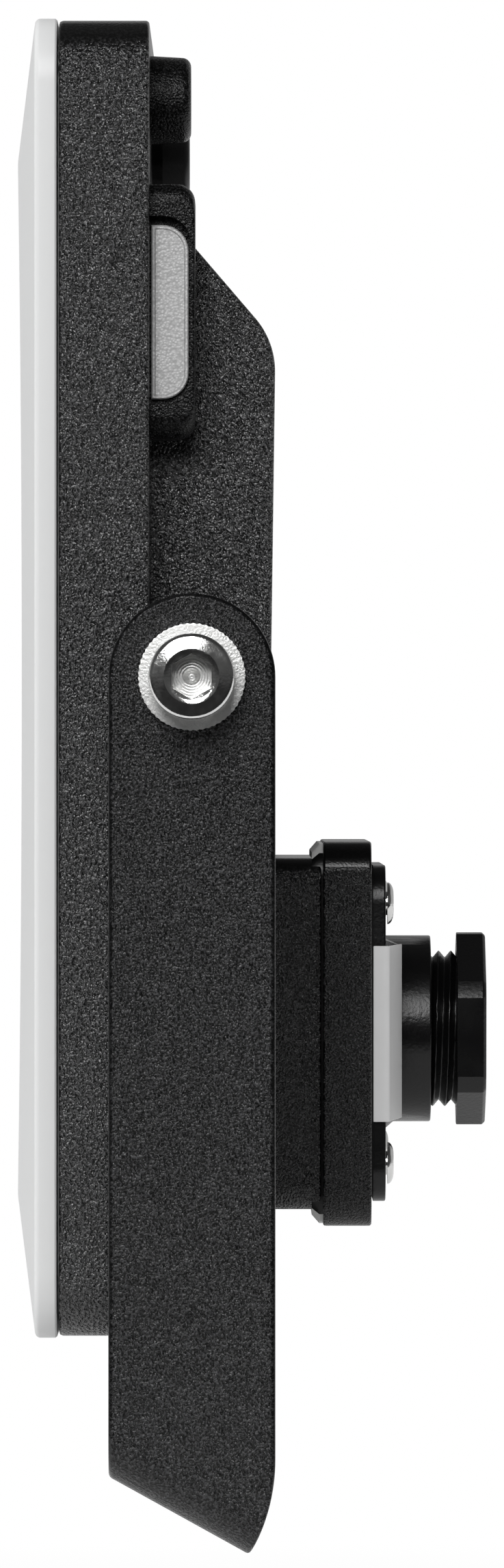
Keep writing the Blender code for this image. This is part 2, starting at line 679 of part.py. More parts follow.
def make_housing(head):
    """The die-cast housing: tray, ribbed sink with the driver pocket, lugs, rear pad and plate seat."""
    edge = TRAY_EDGE_RADIUS
    stations = [(0, RIM_Y), (0, TRAY_BACK_Y - edge)]
    stations += [
        (edge * (1 - math.cos(t)), TRAY_BACK_Y - edge * (1 - math.sin(t)))
        for t in (math.pi / 4, math.pi / 2)
    ]
    rings = [
        xz(rectangle(HEAD_WIDTH - 2 * inset, HEAD_HEIGHT - 2 * inset, HEAD_CORNER_RADIUS - inset), y)
        for inset, y in stations
    ]
    housing = place_mesh("main_housing", loft(rings), head, POWDER_COAT)
    add(housing, make_sink())
    low_z, high_z = SINK_BOTTOM_Z - SINK, SINK_TOP_Z + SINK
    for low, high in rib_slots():
        cut(housing, box((low, RIB_FOOT_Y, low_z), (high, SINK_REAR_Y + OVERRUN, high_z)))
    add_lugs(housing)
    add_rear_pad(housing)
    add_plate_seat(housing)
    recess = rectangle(
        HEAD_WIDTH - 2 * RIM_WALL, HEAD_HEIGHT - 2 * RIM_WALL, HEAD_CORNER_RADIUS - RIM_WALL)
    cut(housing, prism_y(recess, RIM_Y - OVERRUN, FLOOR_Y))
    cut_seal_groove(housing)
    pocket_height = POCKET_TOP_Z - POCKET_BOTTOM_Z
    pocket = rectangle(2 * POCKET_HALF_WIDTH, pocket_height, POCKET_CORNER_RADIUS, 3)
    middle = (0, 0, POCKET_BOTTOM_Z + pocket_height / 2)
    cut(housing, prism_y(pocket, FLOOR_Y - OVERRUN, POCKET_REAR_Y), middle)
    post_end = POCKET_REAR_Y - DRIVER_STANDOFF
    for x, z in driver_holes():
        post = [(DRIVER_POST_RADIUS, post_end), (DRIVER_POST_RADIUS, POCKET_REAR_Y + SINK)]
        add(housing, turned_y(post, SMALL_STEPS), (x, 0, z))
    drill_housing(housing)
    return housing


def add_lugs(housing):
    """Round lugs that the yoke's arms clamp against, each with a threaded hole for the pivot bolt."""
    root, end = SINK_WIDTH / 2 - END_WALL / 2, YOKE_INNER_HALF - GAP
    for side in (-1, 1):
        lug = [
            (LUG_RADIUS + LUG_DRAFT, side * root),
            (LUG_RADIUS, side * (end - LUG_EDGE)),
            (LUG_RADIUS - LUG_EDGE, side * end),
        ]
        add(housing, turned_x(lug))
        bore_end = PIVOT_HEAD_X - PIVOT_BOLT_REACH - 2 * OVERRUN
        bore_radius = PIVOT_BOLT_RADIUS + GAP
        cut(housing, turned_x([(bore_radius, side * bore_end), (bore_radius, side * (end + OVERRUN))]))


def add_rear_pad(housing):
    """The round cast pad near the top of the tray's back, on the rating plate's side."""
    rear, edge = TRAY_BACK_Y + PAD_HEIGHT, PAD_EDGE_RADIUS
    pad = [(PAD_RADIUS + PAD_DRAFT, TRAY_BACK_Y - SINK), (PAD_RADIUS, rear - edge)]
    pad += [
        (PAD_RADIUS - edge * (1 - math.cos(t)), rear - edge * (1 - math.sin(t)))
        for t in (math.pi / 5, math.pi / 2.6, math.pi / 2)
    ]
    add(housing, turned_y(pad), (PAD_FROM_CENTRE, 0, PAD_Z))


def add_plate_seat(housing):
    """The cast seat of the rating plate beside the sink: two end rails and a thin rear rim round a recess."""
    low_z = SEAT_TOP_Z - SEAT_HEIGHT
    root = SINK_WIDTH / 2 - END_WALL / 2
    corner = SEAT_CORNER_RADIUS

    def ring(inset, y):
        return xz(rounded_polygon([
            (root, SEAT_TOP_Z - inset, 0), (root, low_z + inset, 0),
            (SEAT_FACE_X, low_z + inset, SEAT_BOTTOM_RADIUS),
            (SEAT_FACE_X, SEAT_TOP_Z - inset, SEAT_TOP_RADIUS),
        ], 4), y)

    rings = [ring(0, TRAY_BACK_Y - SINK), ring(0, SEAT_REAR_Y - corner)]
    rings += [
        ring(corner * (1 - math.cos(t)), SEAT_REAR_Y - corner * (1 - math.sin(t)))
        for t in (math.pi / 8, math.pi / 4, math.pi * 3 / 8, math.pi / 2)
    ]
    add(housing, loft(rings))
    recess = rounded_polygon([
        (TRAY_BACK_Y, SEAT_TOP_Z - SEAT_TOP_RAIL, 0), (TRAY_BACK_Y, low_z + SEAT_BOTTOM_RAIL, 0),
        (SEAT_REAR_Y - SEAT_REAR_RIM, low_z + SEAT_BOTTOM_RAIL, SEAT_CORNER_RADIUS),
        (SEAT_REAR_Y - SEAT_REAR_RIM, SEAT_TOP_Z - SEAT_TOP_RAIL, SEAT_CORNER_RADIUS),
    ], 4)
    cut(housing, prism_x(recess, SEAT_FACE_X - SEAT_RECESS, SEAT_FACE_X + OVERRUN))


def seal_outlines(clearance):
    """The seal's outer and inner outlines, in the middle of the rim."""
    middle, half = RIM_WALL / 2, SEAL_WIDTH / 2 + clearance
    return [
        rectangle(HEAD_WIDTH - 2 * inset, HEAD_HEIGHT - 2 * inset, HEAD_CORNER_RADIUS - inset, SEAL_STEPS)
        for inset in (middle - half, middle + half)
    ]


def cut_seal_groove(housing):
    outer, inner = seal_outlines(GAP)
    cut(housing, frame_y(outer, inner, RIM_Y - OVERRUN, RIM_Y + SEAL_GROOVE_DEPTH))


def driver_holes():
    """Where the driver board is screwed down: two opposite corners."""
    x, z = DRIVER_WIDTH / 2 - DRIVER_HOLE_INSET, DRIVER_HEIGHT / 2 - DRIVER_HOLE_INSET
    return [(-x, DRIVER_CENTRE_Z + z), (x, DRIVER_CENTRE_Z - z)]


def board_holes():
    """Where the LED board is screwed down, into the sink's end walls."""
    return [(x, z) for x in (-BOARD_SCREW_X, BOARD_SCREW_X) for z in (-BOARD_SCREW_Z, BOARD_SCREW_Z)]


def box_screw_holes():
    """Where the terminal box's base is screwed to the sink."""
    x = BOX_SCREW_X - EAR_RADIUS - BOX_POST_RADIUS
    return [(-x, BOX_Z), (x, BOX_Z)]


def drill_housing(housing):
    """The blind holes for screws, the vent's hole and the way for the leads into the terminal box."""
    tap = M3_RADIUS + GAP
    board_end = FLOOR_Y + BOARD_SCREW_LENGTH - BOARD_THICKNESS + OVERRUN
    for x, z in board_holes():
        cut(housing, turned_y([(tap, FLOOR_Y - OVERRUN), (tap, board_end)], SMALL_STEPS), (x, 0, z))
    driver_end = DRIVER_FRONT_Y + DRIVER_SCREW_LENGTH + GAP
    for x, z in driver_holes():
        cut(housing, turned_y([(tap, FLOOR_Y), (tap, driver_end)], SMALL_STEPS), (x, 0, z))
    for x, z in box_screw_holes():
        end = BOX_FLOOR_Y - BOX_SCREW_LENGTH
        cut(housing, turned_y([(tap, end), (tap, BOX_SEAT_Y + OVERRUN)], SMALL_STEPS), (x, 0, z))
    way = LEAD_HOLE_RADIUS + GAP
    cut(housing, turned_y([(way, POCKET_REAR_Y - OVERRUN), (way, BOX_SEAT_Y + OVERRUN)]), (0, 0, BOX_Z))
    vent = VENT_STEM_RADIUS + GAP
    cut(housing, turned_y([(vent, FLOOR_Y - OVERRUN), (vent, TRAY_BACK_Y + OVERRUN)], SMALL_STEPS),
        (VENT_FROM_CENTRE, 0, VENT_Z))


def lens_ring(inset, y, steps=CORNER_STEPS):
    radius = max(HEAD_CORNER_RADIUS - inset, LENS_EDGE_RADIUS)
    return xz(rectangle(HEAD_WIDTH - 2 * inset, HEAD_HEIGHT - 2 * inset, radius, steps), y)


def make_lens(head):
    """The frosted lens: a shallow dish with a bevelled band round a flat front, open to the housing."""
    front = LENS_REAR_Y - LENS_EDGE_DEPTH
    edge = LENS_EDGE_RADIUS
    band_soft = LENS_BAND * LENS_EDGE_RADIUS / LENS_RISE
    outer = [
        (0, LENS_REAR_Y),
        (0, front + edge),
        (edge / 2, front),
        (LENS_BAND - band_soft, front - LENS_RISE + edge / 4),
        (LENS_BAND + band_soft, front - LENS_RISE),
    ]
    inside = RIM_WALL
    inner = [
        (LENS_BAND + band_soft, front - LENS_RISE + LENS_WALL),
        (LENS_BAND - band_soft, front - LENS_RISE + LENS_WALL + edge / 4),
        (inside + edge, front + LENS_WALL),
        (inside, LENS_REAR_Y),
    ]
    rings = [lens_ring(inset, y) for inset, y in outer]
    solid = loft(rings)
    lens = place_mesh("front_lens", solid, head, FROSTED)
    hollow = loft([lens_ring(inset, y) for inset, y in inner] + [lens_ring(inside, LENS_REAR_Y + OVERRUN)])
    cut(lens, hollow)
    return lens


def make_lens_seal(head):
    outer, inner = seal_outlines(0)
    floor = RIM_Y + SEAL_GROOVE_DEPTH - GAP
    return place_mesh("lens_seal", frame_y(outer, inner, RIM_Y, floor), head, CLEAR_SEAL)


def make_led_board(head):
    """The white aluminium board with its grid of LED packages raised out of its front."""
    outline = rectangle(BOARD_WIDTH, BOARD_HEIGHT, BOARD_CORNER_RADIUS, 3)
    board = place_mesh("led_board", prism_y(outline, BOARD_FRONT_Y, BOARD_REAR_Y), head, WHITE_BOARD)
    holes = [(M3_RADIUS + GAP, x, z) for x, z in board_holes()]
    holes.append((LEAD_PITCH + LEAD_RADIUS, 0, lead_exit_z()))
    front, rear = BOARD_FRONT_Y - OVERRUN, BOARD_REAR_Y + OVERRUN
    cut(board, joined(
        moved(turned_y([(radius, front), (radius, rear)], SMALL_STEPS), (x, 0, z)) for radius, x, z in holes
    ))
    half = LED_SIZE / 2
    low_y, high_y = BOARD_FRONT_Y - LED_HEIGHT, BOARD_FRONT_Y + SINK
    columns = [LED_FIELD_WIDTH * (i / (LED_COLUMNS - 1) - 1 / 2) for i in range(LED_COLUMNS)]
    rows = [LED_FIELD_HEIGHT * (i / (LED_ROWS - 1) - 1 / 2) for i in range(LED_ROWS)]
    add(board, joined(
        box((x - half, low_y, z - half), (x + half, high_y, z + half)) for x in columns for z in rows
    ))
    return board


def lead_exit_z():
    """Height of the LED board's wire hole, straight in front of the driver's output header."""
    return DRIVER_TOP_Z - HEADER_HEIGHT / 2 - GAP


def make_reflector(head):
    """The white frame that closes the gap between the LED board and the rim and slopes the light forward."""
    outer_w, outer_h = BOARD_WIDTH, BOARD_HEIGHT
    rear, front = BOARD_FRONT_Y - GAP, LENS_REAR_Y + GAP
    wall = REFLECTOR_THICKNESS
    corner = BOARD_CORNER_RADIUS
    steps = 3
    foot = REFLECTOR_FOOT

    def ring(inset, y):
        return xz(rectangle(outer_w - 2 * inset, outer_h - 2 * inset, corner, steps), y)

    rings = [
        ring(0, front), ring(wall, front), ring(foot - wall, rear - wall), ring(foot, rear - wall),
        ring(foot, rear), ring(foot - 2 * wall, rear),
    ]
    return place_mesh("reflector_frame", loft(rings, closed=True), head, WHITE_BOARD)


def make_driver(head):
    """The driver board and the parts that stand on its front."""
    outline = rectangle(DRIVER_WIDTH, DRIVER_HEIGHT, M3_RADIUS, 2)
    board = place_mesh("driver_board", prism_y(outline, DRIVER_FRONT_Y, DRIVER_REAR_Y), head, GREEN_BOARD,
                       (0, 0, DRIVER_CENTRE_Z))
    for x, z in driver_holes():
        hole = [(M3_RADIUS + GAP, DRIVER_FRONT_Y - OVERRUN), (M3_RADIUS + GAP, DRIVER_REAR_Y + OVERRUN)]
        cut(board, turned_y(hole, SMALL_STEPS), (x, 0, z))
    left, right = (share * DRIVER_WIDTH for share in DRIVER_COLUMN_SHARES)
    make_transformer(head, (right, 0, DRIVER_CENTRE_Z + TRANSFORMER_HEIGHT_SHARE * DRIVER_HEIGHT))
    end, radius = CAPACITOR_LENGTH / 2, CAPACITOR_RADIUS
    can_y = PART_Y - radius
    profile = [(radius - GAP, -end), (radius, GAP - end), (radius, end - GAP), (radius - GAP, end)]
    for name, side in (("driver_input_capacitor", -1), ("driver_output_capacitor", 1)):
        place = (left, can_y, DRIVER_CENTRE_Z + side * CAPACITOR_HEIGHT_SHARE * DRIVER_HEIGHT)
        place_mesh(name, turned_x(profile, SMALL_STEPS), head, CAN, place)
    choke = [
        (CHOKE_RADIUS, PART_Y), (CHOKE_RADIUS, PART_Y - CHOKE_DEPTH),
        (CHOKE_BORE_RADIUS, PART_Y - CHOKE_DEPTH), (CHOKE_BORE_RADIUS, PART_Y),
    ]
    place_mesh("driver_choke", turned_y(choke, SMALL_STEPS, closed=True), head, FERRITE,
               (right, 0, DRIVER_CENTRE_Z + CHOKE_HEIGHT_SHARE * DRIVER_HEIGHT))
    for name, z in (("driver_input_header", -1), ("driver_output_header", 1)):
        edge_z = z * (DRIVER_HEIGHT / 2 - HEADER_HEIGHT / 2 - GAP)
        header = box((-HEADER_WIDTH / 2, PART_Y - HEADER_DEPTH, -HEADER_HEIGHT / 2),
                     (HEADER_WIDTH / 2, PART_Y, HEADER_HEIGHT / 2))
        place_mesh(name, header, head, IVORY, (0, 0, DRIVER_CENTRE_Z + edge_z))
    for i, (x, z) in enumerate(driver_holes()):
        front_screw(f"driver_screw_{i + 1}", DRIVER_SCREW_LENGTH, (x, DRIVER_FRONT_Y - GAP, z), head)


def make_transformer(head, place):
    """A small ferrite transformer: a core with a taped winding through it."""
    half_w, half_h = TRANSFORMER_WIDTH / 2, TRANSFORMER_HEIGHT / 2
    core = box((-half_w, PART_Y - TRANSFORMER_DEPTH, -half_h), (half_w, PART_Y, half_h))
    transformer = place_mesh("driver_transformer", core, head, FERRITE, place)
    middle = PART_Y - TRANSFORMER_DEPTH / 2
    winding = loft([
        [Vector((a, middle + b, z)) for a, b in circle(COIL_RADIUS, SMALL_STEPS)]
        for z in (-half_h - SINK, half_h + SINK)
    ])
    add(transformer, winding, place)
    return transformer


def make_led_leads(head):
    """Two leads from the driver's output through the LED board to its pads."""
    start_y = PART_Y - HEADER_DEPTH - GAP
    front = BOARD_FRONT_Y - LEAD_RADIUS - GAP
    z = lead_exit_z()
    for name, side, finish in (("led_lead_plus", 1, RED_LEAD), ("led_lead_minus", -1, BLACK_LEAD)):
        x = side * LEAD_PITCH / 2
        lead(name, [
            (x, start_y, z),
            (x, (start_y + BOARD_REAR_Y) / 2, z),
            (x, BOARD_REAR_Y, z),
            (x, BOARD_FRONT_Y, z + LEAD_RADIUS / 3),
            (x, front - LEAD_RADIUS / 2, z + LEAD_PITCH / 2),
            (x, front, z + 2 * LEAD_PITCH),
            (x * 2, front, z + 4 * LEAD_PITCH),
        ], finish, head)


def make_vent(head):
    """The smooth plastic breather plug, its seal ring and its fine bore."""
    place = (VENT_FROM_CENTRE, 0, VENT_Z)
    seat, edge = TRAY_BACK_Y + VENT_SEAL_WIDTH + 2 * GAP, VENT_EDGE_RADIUS
    rear = TRAY_BACK_Y + VENT_HEAD_HEIGHT + GAP
    profile = [
        (VENT_STEM_RADIUS, FLOOR_Y + GAP), (VENT_STEM_RADIUS, seat), (VENT_RADIUS, seat),
        (VENT_RADIUS, rear - edge), (VENT_RADIUS - edge / 3, rear - edge / 3), (VENT_RADIUS - edge, rear),
    ]
    plug = place_mesh("vent_plug", turned_y(profile), head, BLACK_PLASTIC, place)
    bore = [(VENT_BORE_RADIUS, FLOOR_Y - OVERRUN), (VENT_BORE_RADIUS, rear + OVERRUN)]
    cut(plug, turned_y(bore, SMALL_STEPS), place)
    inner, outer = VENT_STEM_RADIUS + GAP, VENT_RADIUS - GAP
    near, far = TRAY_BACK_Y + GAP, seat - GAP
    seal = turned_y([(outer, near), (outer, far), (inner, far), (inner, near)], closed=True)
    place_mesh("vent_seal", seal, head, RUBBER, place)


def make_rating_plate(head):
    """The bare silver plate in its seat on the side of the head."""
    low, high = SEAT_TOP_Z - SEAT_HEIGHT + SEAT_BOTTOM_RAIL, SEAT_TOP_Z - SEAT_TOP_RAIL
    rear = SEAT_REAR_Y - SEAT_REAR_RIM - GAP
    radius = PLATE_CORNER_RADIUS
    outline = rounded_polygon([
        (TRAY_BACK_Y + GAP, high - PLATE_MARGIN, 0), (TRAY_BACK_Y + GAP, low + PLATE_MARGIN, 0),
        (rear, low + PLATE_MARGIN, radius), (rear, high - PLATE_MARGIN, radius),
    ])
    front = SEAT_FACE_X - SEAT_RECESS + GAP
    return place_mesh("rating_plate", prism_x(outline, front, front + PLATE_THICKNESS), head, SILVER_FOIL)


def cover_screw_places():
    return [(x, BOX_Z + z) for x in (-BOX_SCREW_X, BOX_SCREW_X) for z in (-BOX_SCREW_DZ, BOX_SCREW_DZ)]


def make_terminal_box(head):
    """The cast base with a cheek at each side of the seal, the seal and the cast cover."""
    outer = rectangle(BOX_WIDTH, BOX_HEIGHT, BOX_CORNER_RADIUS)
    inner = rectangle(BOX_WIDTH - 2 * BOX_WALL, BOX_HEIGHT - 2 * BOX_WALL, BOX_CORNER_RADIUS - BOX_WALL)
    middle = (0, 0, BOX_Z)
    block = prism_y(outer, BOX_FRONT_Y, COVER_FRONT_Y - GAP)
    base = place_mesh("terminal_box_base", block, head, POWDER_COAT, middle)
    cut(base, prism_y(inner, BOX_FLOOR_Y, BOX_RIM_Y + OVERRUN), middle)
    seat_x, seat_z = BOX_WIDTH / 2 - BOX_CHEEK, BOX_HEIGHT / 2 + OVERRUN
    cut(base, box((-seat_x, BOX_RIM_Y, -seat_z), (seat_x, COVER_FRONT_Y + OVERRUN, seat_z)), middle)
    for x, z in cover_screw_places():
        post = [(BOX_POST_RADIUS, BOX_FLOOR_Y - SINK), (BOX_POST_RADIUS, BOX_RIM_Y - GAP)]
        add(base, turned_y(post, SMALL_STEPS), (x, 0, z))
        tap = [(M4_RADIUS + GAP, BOX_FLOOR_Y), (M4_RADIUS + GAP, BOX_RIM_Y + OVERRUN)]
        cut(base, turned_y(tap, SMALL_STEPS), (x, 0, z))
    bush_way = LEAD_HOLE_RADIUS + GAP
    cut(base, turned_y([(bush_way, BOX_FRONT_Y - OVERRUN), (bush_way, BOX_FLOOR_Y + OVERRUN)]), middle)
    hole = M3_RADIUS + GAP
    floor_hole = [(hole, BOX_FRONT_Y - OVERRUN), (hole, BOX_FLOOR_Y + OVERRUN)]
    for x, z in box_screw_holes():
        cut(base, turned_y(floor_hole, SMALL_STEPS), (x, 0, z))
        screw_name = f"box_screw_{'left' if x < 0 else 'right'}"
        shank = BOX_SCREW_LENGTH - 2 * GAP
        profile = [
            (M3_RADIUS, -shank), (M3_RADIUS, 0), (M3_HEAD_RADIUS, 0),
            (M3_HEAD_RADIUS, M3_HEAD_HEIGHT / 2), (M3_HEAD_RADIUS * math.cos(math.pi / 6), M3_HEAD_HEIGHT),
        ]
        place_mesh(screw_name, turned_y(profile, SMALL_STEPS), head, ZINC, (x, BOX_FLOOR_Y + GAP, z))
    make_box_seal(head)
    make_cover(head)


def cover_ring(inset, y):
    """The cover's outline, drawn in by an inset."""
    return xz(rectangle(COVER_WIDTH - 2 * inset, COVER_HEIGHT - 2 * inset, COVER_CORNER_RADIUS - inset), y)


def make_box_seal(head):
    """The chamfered seal that shows as a thin lip above and below, between the base and the cover."""
    far, lip = BOX_SEAL_Y + BOX_SEAL_THICKNESS, BOX_SEAL_LIP
    width = BOX_WIDTH - 2 * BOX_CHEEK - 2 * GAP
    inner = xz(rectangle(BOX_WIDTH - 2 * BOX_WALL, BOX_HEIGHT - 2 * BOX_WALL, BOX_WALL / 2), BOX_SEAL_Y)
    inner_far = [Vector((p.x, far, p.z)) for p in inner]

    def ring(inset, y):
        return xz(rectangle(width, COVER_HEIGHT - 2 * inset, COVER_CORNER_RADIUS - inset), y)

    slope = [ring(lip + BOX_SEAL_CHAMFER, BOX_SEAL_Y), ring(lip, far - lip), ring(lip, far)]
    shape = loft([*slope, inner_far, inner], closed=True)
    seal = place_mesh("terminal_box_seal", shape, head, BLACK_PLASTIC, (0, 0, BOX_Z))
    for x, z in cover_screw_places():
        post = BOX_POST_RADIUS + GAP
        cut(seal, turned_y([(post, BOX_SEAL_Y - OVERRUN), (post, far + OVERRUN)], SMALL_STEPS), (x, 0, z))
    return seal


def make_cover(head):
    """The cast cover: a deep skirt and a rear face with a window that the gland plate closes."""
    edge = COVER_EDGE
    middle = (0, 0, BOX_Z)
    shape = loft([
        cover_ring(0, COVER_FRONT_Y), cover_ring(0, COVER_REAR_Y - edge), cover_ring(edge, COVER_REAR_Y),
    ])
    cover = place_mesh("terminal_box_cover", shape, head, POWDER_COAT, middle)
    inner = rectangle(BOX_WIDTH - 2 * BOX_WALL, BOX_HEIGHT - 2 * BOX_WALL, BOX_WALL / 2)
    cut(cover, prism_y(inner, COVER_FRONT_Y - OVERRUN, COVER_REAR_Y - COVER_FACE), middle)
    window = rectangle(COVER_WINDOW_WIDTH, COVER_WINDOW_HEIGHT, COVER_WINDOW_RADIUS, 3)
    cut(cover, prism_y(window, COVER_FRONT_Y, COVER_REAR_Y + OVERRUN), middle)
    hole = M4_RADIUS + GAP
    for x, z in cover_screw_places():
        through = [(hole, COVER_FRONT_Y - OVERRUN), (hole, COVER_REAR_Y + OVERRUN)]
        cut(cover, turned_y(through, SMALL_STEPS), (x, 0, z))
    return cover


def gland_plate_outline():
    """The plate with round corners for its screws, and at each side a chamfered block for the label."""
    ear_x, block_x = GLAND_PLATE_WIDTH / 2 - PLATE_EAR_INSET, GLAND_PLATE_WIDTH / 2
    end, foot, label = GLAND_PLATE_HEIGHT / 2, PYRAMID_BASE_HEIGHT / 2, LABEL_HEIGHT / 2
    return rounded_polygon([
        (ear_x, end, EAR_RADIUS), (-ear_x, end, EAR_RADIUS),
        (-ear_x, foot, 0), (-block_x, label, 0), (-block_x, -label, 0), (-ear_x, -foot, 0),
        (-ear_x, -end, EAR_RADIUS), (ear_x, -end, EAR_RADIUS),
        (ear_x, -foot, 0), (block_x, -label, 0), (block_x, label, 0), (ear_x, foot, 0),
    ])


def make_gland_plate(head):
    """The moulded plate with its four screw corners, its low pyramid and the cable gland's body."""
    middle = (0, 0, BOX_Z)
    slab = prism_y(gland_plate_outline(), GLAND_PLATE_Y, EAR_TOP_Y)
    plate = place_mesh("gland_plate", slab, head, BLACK_PLASTIC, middle)
    foot_width, foot_height = GLAND_PLATE_WIDTH - SCREW_EDGE, PYRAMID_BASE_HEIGHT - SCREW_EDGE
    pyramid = loft([
        xz(rectangle(width, height), y) for width, height, y in (
            (foot_width, foot_height, EAR_TOP_Y - SINK),
            (foot_width, foot_height, EAR_TOP_Y),
            (PYRAMID_TOP_WIDTH, PYRAMID_TOP_HEIGHT, PYRAMID_TOP_Y),
        )
    ])
    add(plate, pyramid, middle)
    barrel = [
        (BARREL_RADIUS, EAR_TOP_Y - SINK), (BARREL_RADIUS, BARREL_END_Y - SCREW_EDGE),
        (BARREL_RADIUS - SCREW_EDGE, BARREL_END_Y), (SPIGOT_RADIUS, BARREL_END_Y),
        (SPIGOT_RADIUS, SPIGOT_END_Y - SCREW_EDGE), (SPIGOT_RADIUS - SCREW_EDGE, SPIGOT_END_Y),
    ]
    add(plate, turned_y(barrel, FINE_STEPS), middle)
    bore = [
        (CABLE_WAY_RADIUS, GLAND_PLATE_Y - OVERRUN), (CABLE_WAY_RADIUS, GROMMET_FRONT_Y - GAP),
        (SPIGOT_BORE_RADIUS, GROMMET_FRONT_Y - GAP), (SPIGOT_BORE_RADIUS, SPIGOT_END_Y + OVERRUN),
    ]
    cut(plate, turned_y(bore), middle)
    hole = M4_RADIUS + GAP
    for i, (x, z) in enumerate(cover_screw_places()):
        through = [(hole, GLAND_PLATE_Y - OVERRUN), (hole, EAR_TOP_Y + OVERRUN)]
        cut(plate, turned_y(through, SMALL_STEPS), (x, 0, z))
        length = EAR_TOP_Y - BOX_FLOOR_Y - OVERRUN / 2
        pan_screw(f"cover_screw_{i + 1}", M4_HEAD_RADIUS, M4_HEAD_HEIGHT, M4_RADIUS, length,
                  (x, EAR_TOP_Y + GAP, z), head, math.pi / 5 * i)
    return plate


def make_gland_label(head):
    """The bare pale label that folds from the plate's near edge over the pyramid's slope."""
    low = Vector((GLAND_PLATE_WIDTH / 2, GLAND_PLATE_Y))
    knee = Vector((GLAND_PLATE_WIDTH / 2, EAR_TOP_Y))
    top = Vector((PYRAMID_TOP_WIDTH / 2, PYRAMID_TOP_Y))
    high = knee + (top - knee) * LABEL_REACH_SHARE

    line = []
    for point, slopes in ((low, (knee - low,)), (knee, (knee - low, high - knee)), (high, (high - knee,))):
        normal = sum((Vector((s.y, -s.x)).normalized() for s in slopes), Vector((0, 0))).normalized()
        line.append((point, normal))
    under = [point + normal * GAP for point, normal in line]
    over = [point + normal * (GAP + LABEL_THICKNESS) for point, normal in line]
    half = LABEL_HEIGHT / 2
    rings = [[Vector((p.x, p.y, z)) for p in under + over[::-1]] for z in (-half, half)]
    return place_mesh("gland_label", loft(rings), head, PALE_LABEL, (0, 0, BOX_Z))


def make_terminals(head):
    """The terminal block on the box's floor, the earth screw and the bush that the leads pass through."""
    z = BOX_Z - BLOCK_BELOW_AXIS
    low, high = BOX_FLOOR_Y + GAP, BOX_FLOOR_Y + GAP + BLOCK_DEPTH
    half_w, half_h = BLOCK_WIDTH / 2, BLOCK_HEIGHT / 2
    block = place_mesh("terminal_block", box((-half_w, low, -half_h), (half_w, high, half_h)), head, IVORY,
                       (0, 0, z))
    pole = BLOCK_WIDTH / BLOCK_POLES
    for i in range(BLOCK_POLES):
        x = pole * (i - (BLOCK_POLES - 1) / 2)
        well = [(BLOCK_SCREW_RADIUS, high - BLOCK_SCREW_RADIUS), (BLOCK_SCREW_RADIUS, high + OVERRUN)]
        cut(block, turned_y(well, SMALL_STEPS), (x, 0, z))
    place = (-box_screw_holes()[1][0], low, BOX_Z + BOX_HEIGHT / 2 - BOX_WALL - EARTH_SCREW_INSET)
    profile = [(M4_HEAD_RADIUS, low), (M4_HEAD_RADIUS, low + M4_HEAD_HEIGHT / 2),
               (M4_HEAD_RADIUS - SCREW_EDGE, low + M4_HEAD_HEIGHT)]
    place_mesh("earth_terminal", turned_y(profile, SMALL_STEPS), head, ZINC, (place[0], 0, place[2]))
    seat, floor = POCKET_REAR_Y - GAP, BOX_FLOOR_Y
    front = seat - BUSH_FLANGE_THICKNESS
    bush = [
        (BUSH_FLANGE_RADIUS, front), (BUSH_FLANGE_RADIUS, seat), (LEAD_HOLE_RADIUS, seat),
        (LEAD_HOLE_RADIUS, floor), (BUSH_BORE_RADIUS, floor), (BUSH_BORE_RADIUS, front),
    ]
    place_mesh("lead_bush", turned_y(bush, SMALL_STEPS, closed=True), head, RUBBER, (0, 0, BOX_Z))


def make_supply_leads(head):
    """Three leads from the terminal block through the bush and up to the driver's input."""
    block_top = BOX_Z - BLOCK_BELOW_AXIS + BLOCK_HEIGHT / 2 + 2 * GAP
    pole = BLOCK_WIDTH / BLOCK_POLES
    block_y = BOX_FLOOR_Y + BLOCK_DEPTH / 2
    input_y = PART_Y - HEADER_DEPTH / 2
    input_z = DRIVER_CENTRE_Z - DRIVER_HEIGHT / 2 - GAP
    leads = (("live", BROWN_LEAD), ("earth", GREEN_LEAD), ("neutral", BLUE_LEAD))
    for side, (word, finish) in zip((-1, 0, 1), leads):
        x = side * LEAD_PITCH * math.cos(math.pi / 6)
        lead(f"supply_lead_{word}", [
            (side * pole, block_y, block_top),
            (side * pole, block_y, block_top + LEAD_PITCH),
            (x * 1.1, BOX_FLOOR_Y + LEAD_PITCH / 2, BOX_Z - LEAD_RADIUS),
            (x * 0.9, POCKET_REAR_Y, BOX_Z),
            (x * 1.1, POCKET_REAR_Y - 2 * LEAD_PITCH, BOX_Z + LEAD_PITCH),
            (x * 1.6, input_y, input_z - LEAD_PITCH),
            (x * 1.6, input_y, input_z),
        ], finish, head)


